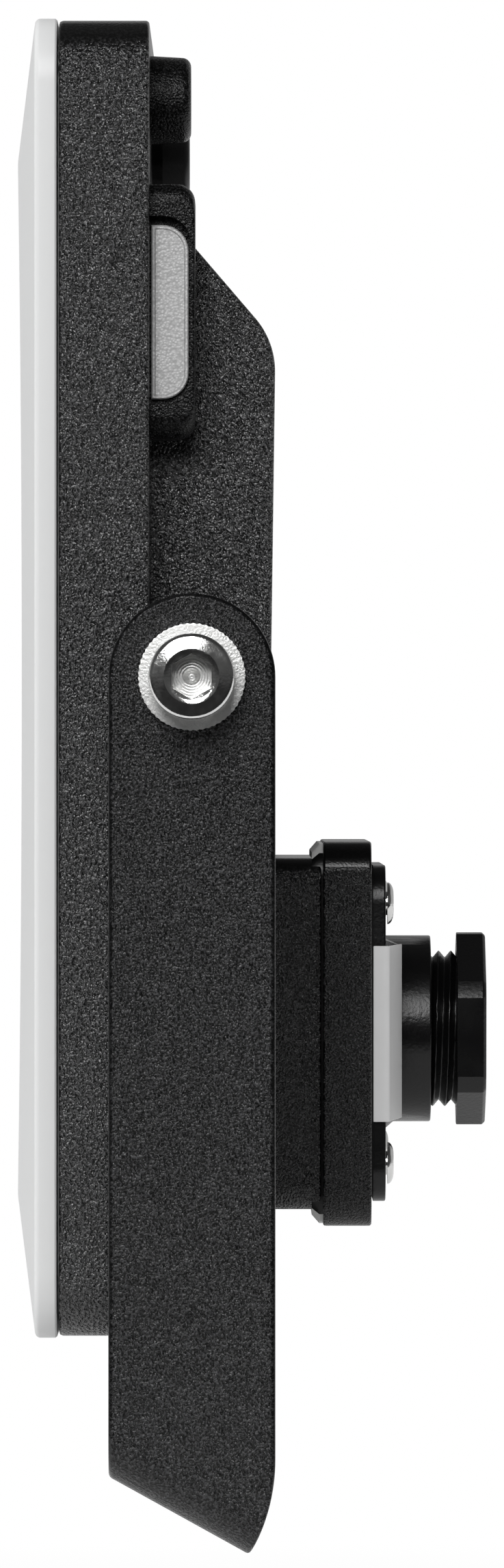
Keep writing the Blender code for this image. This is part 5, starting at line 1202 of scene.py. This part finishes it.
def make_lock_washer(side, word):
    """A serrated lock washer: fine twisted teeth round a plain ring."""
    near, far = WASHER_LOW.x, WASHER_HIGH.x
    bore, root = LUG_BORE_RADIUS + GAP / 3, WASHER_RADIUS - 3 * WASHER_TOOTH

    def ring(radius, x, wave=0.0, twist=0.0):
        points = []
        for i, t in enumerate(around(4 * WASHER_TEETH)):
            phase = sin(2 * pi * i / 4)
            r = radius - wave * (1 - phase) / 2
            points.append(Vector((side * (x - twist * (1 + phase) / 2), r * cos(t), r * sin(t))))
        return points

    rings = [
        ring(bore, near), ring(bore, far), ring(root, far),
        ring(WASHER_RADIUS, far, WASHER_TOOTH, WASHER_TWIST),
        ring(WASHER_RADIUS, near, WASHER_TOOTH, -WASHER_TWIST), ring(root, near),
    ]
    washer = new_piece(f"serrated_washer_{word}", loft(rings, closed=True), "zinc_matt")
    finished(washer, "head", "zinc", f"lock_washer_{word}")


# Small parts of the head

def make_vent():
    """The breather plug with its fine bore, and its seal ring."""
    axis = axis_of("vent_plug")
    offset = (axis[0], 0, axis[1])
    low, high = place("vent_seal")
    outer, inner = (high.x - low.x) / 2, VENT_STEM_RADIUS + GAP
    skirt = TRAY_BACK_Y + GAP / 10
    profile = rounded([
        (VENT_STEM_RADIUS, VENT_LOW.y, 0), (VENT_STEM_RADIUS, VENT_SEAT_Y, 0), (outer + GAP, VENT_SEAT_Y, 0),
        (outer + GAP, skirt, 0), (VENT_RADIUS, skirt, GAP / 2),
        (VENT_RADIUS, VENT_HIGH.y, VENT_EDGE_RADIUS), (VENT_BORE_RADIUS / 2, VENT_HIGH.y, 0),
    ])
    plug = new_piece("breather_plug", moved(turned_y(profile), offset), "dull_plastic")
    cut(plug, bars(VENT_BORE_RADIUS, VENT_LOW.y - OVERRUN, VENT_HIGH.y + OVERRUN, [axis]))
    finished(plug, "head", "black_plastic", "vent_plug")
    profile = ring_profile(outer, inner, low.y, high.y, (high.y - low.y) / 3, 4)
    seal = moved(turned_y(profile, closed=True), offset)
    finished(new_piece("breather_seal", seal, "rubber"), "head", "rubber", "vent_seal")


def make_rating_plate():
    """The bare silver plate with a fine raised rim."""
    low, high, rise = PLATE_LOW, PLATE_HIGH, PLATE_RIM_RISE

    def ring(inset, x):
        sides = low.y + inset, high.y - inset, low.z + PLATE_FOOT + inset, high.z - inset
        return yz(plate_outline(*sides, PLATE_CORNER_RADIUS - inset), x)

    rings = [ring(0, low.x), ring(0, high.x - rise), ring(rise, high.x), ring(PLATE_RIM, high.x)]
    rings.append(ring(PLATE_RIM + rise, high.x - rise))
    plate = new_piece("rating_plate_foil", loft(rings), "silver_foil")
    finished(plate, "head", "silver_foil", "rating_plate")


# Light, floor and camera

SOFTBOX_PLACE = Vector((1.67, -0.22, 1.00))
SOFTBOX_SIZE = (0.7, 0.85)
SOFTBOX_POWER = 18.0
FLOOR_Z = -0.06
FLOOR_REACH = 4.0
FLOOR_FRONT_X = 0.3
FLOOR_COLOUR = (0.85, 0.85, 0.85)
CAMERA_PLACE = Vector((1.831, 0.0112, 0.1110))
CAMERA_LENS = 258.0
CAMERA_SENSOR = 36.0
ROOM_LIGHT = 0.64
ROOM_LOW = 0.03
ROOM_GRADIENT = (-0.28, -0.62, 0.0)


def make_softbox():
    """One soft lamp on the camera's side, above it."""
    lamp = bpy.data.lights.new("softbox", "AREA")
    lamp.shape = "RECTANGLE"
    lamp.size, lamp.size_y = SOFTBOX_SIZE
    lamp.energy = SOFTBOX_POWER
    made = put("softbox", lamp)
    made.location = SOFTBOX_PLACE
    made.rotation_euler = (PIVOT - SOFTBOX_PLACE).to_track_quat("-Z", "Y").to_euler()
    made.visible_camera = False


def make_world():
    """A white room to the camera, even light on the object, a dark camera side in reflections."""
    world = bpy.data.worlds.new("studio")
    world.use_nodes = True
    scene.world = world
    tree = world.node_tree
    made_from = node(world, "TexCoord").outputs["Generated"]
    direction = node(world, "SeparateXYZ", {0: made_from}).outputs
    path = node(world, "LightPath").outputs

    def mix(factor, first, second):
        made = node(world, "Mix", {"Factor": factor, "A": first, "B": second}, data_type="FLOAT")
        return made.outputs["Result"]

    behind = spread(world, direction["X"], -0.10, -0.35, 0.0, 1.0)
    low_front = spread(world, direction["Z"], -0.15, 0.05, 0.02, 0.07)
    front = mix(spread(world, direction["Z"], 0.5, 0.7, 0.0, 1.0), low_front, 0.04)
    back = spread(world, direction["Z"], 0.35, 0.65, 0.45, 0.06)
    slope = {0: made_from, 1: ROOM_GRADIENT}
    away = node(world, "VectorMath", slope, operation="DOT_PRODUCT").outputs["Value"]
    around = sums(world, "MAXIMUM", sums(world, "ADD", away, ROOM_LIGHT), ROOM_LOW)
    lit = mix(path["Is Glossy Ray"], around, mix(behind, front, back))
    shown = mix(path["Is Transmission Ray"], mix(path["Is Camera Ray"], lit, 1.0), 1.0)
    background = tree.nodes["Background"]
    background.inputs["Color"].default_value = (1, 1, 1, 1)
    tree.links.new(shown, background.inputs["Strength"])


def make_floor():
    """A pale floor that keeps the object's shadow and is white further out."""
    mesh = bpy.data.meshes.new("floor")
    reach = FLOOR_REACH
    corners = [(FLOOR_FRONT_X, -reach), (FLOOR_FRONT_X, reach), (-reach, reach), (-reach, -reach)]
    mesh.from_pydata([(x, y, FLOOR_Z) for x, y in corners], [], [(0, 1, 2, 3)])
    floor = put("floor", mesh)
    finish = new_material("floor", FLOOR_COLOUR, 1.0)
    tree = finish.node_tree
    tree.nodes.remove(shader_of(finish))
    matt = node(finish, "BsdfDiffuse", {"Color": (*FLOOR_COLOUR, 1)})
    white = node(finish, "Emission", {"Color": (1, 1, 1, 1), "Strength": 1.0})
    path = node(finish, "LightPath").outputs
    dim = sums(finish, "MULTIPLY", path["Is Glossy Ray"], 0.5)
    seen = sums(finish, "MAXIMUM", path["Is Camera Ray"], dim)
    seen = sums(finish, "MAXIMUM", seen, path["Is Transmission Ray"])
    distance = node(finish, "VectorMath", {0: local(finish)}, operation="LENGTH").outputs["Value"]
    keep = sums(finish, "MULTIPLY", seen, spread(finish, distance, 0.25, 0.7, 0.72, 1.0))
    mixed = node(finish, "MixShader", {"Fac": keep, 1: matt.outputs[0], 2: white.outputs[0]})
    tree.links.new(mixed.outputs[0], tree.nodes["Material Output"].inputs["Surface"])
    mesh.materials.append(finish)


def make_camera():
    """The photograph's camera: far off on the +X side, level."""
    camera = bpy.data.cameras.new("camera")
    camera.lens = CAMERA_LENS
    camera.sensor_width = CAMERA_SENSOR
    camera.clip_end = 100
    made = put("camera", camera)
    made.location = CAMERA_PLACE
    made.rotation_euler = Matrix(((0, 0, 1), (1, 0, 0), (0, 1, 0))).to_euler()
    scene.camera = made


finish_cad_nodes()
make_housing()
make_lens()
make_yoke()
make_box_base()
make_box_seal()
make_cover()
make_gland_plate()
make_gland_label()
make_gland_gasket()
make_grommet()
make_thrust_ring()
make_nut()
make_cover_screws()
for side, word in ((-1, "left"), (1, "right")):
    make_pivot_bolt(side, word)
    make_lock_washer(side, word)
make_vent()
make_rating_plate()
make_softbox()
make_world()
make_floor()
make_camera()
scene.view_settings.view_transform = "Standard"
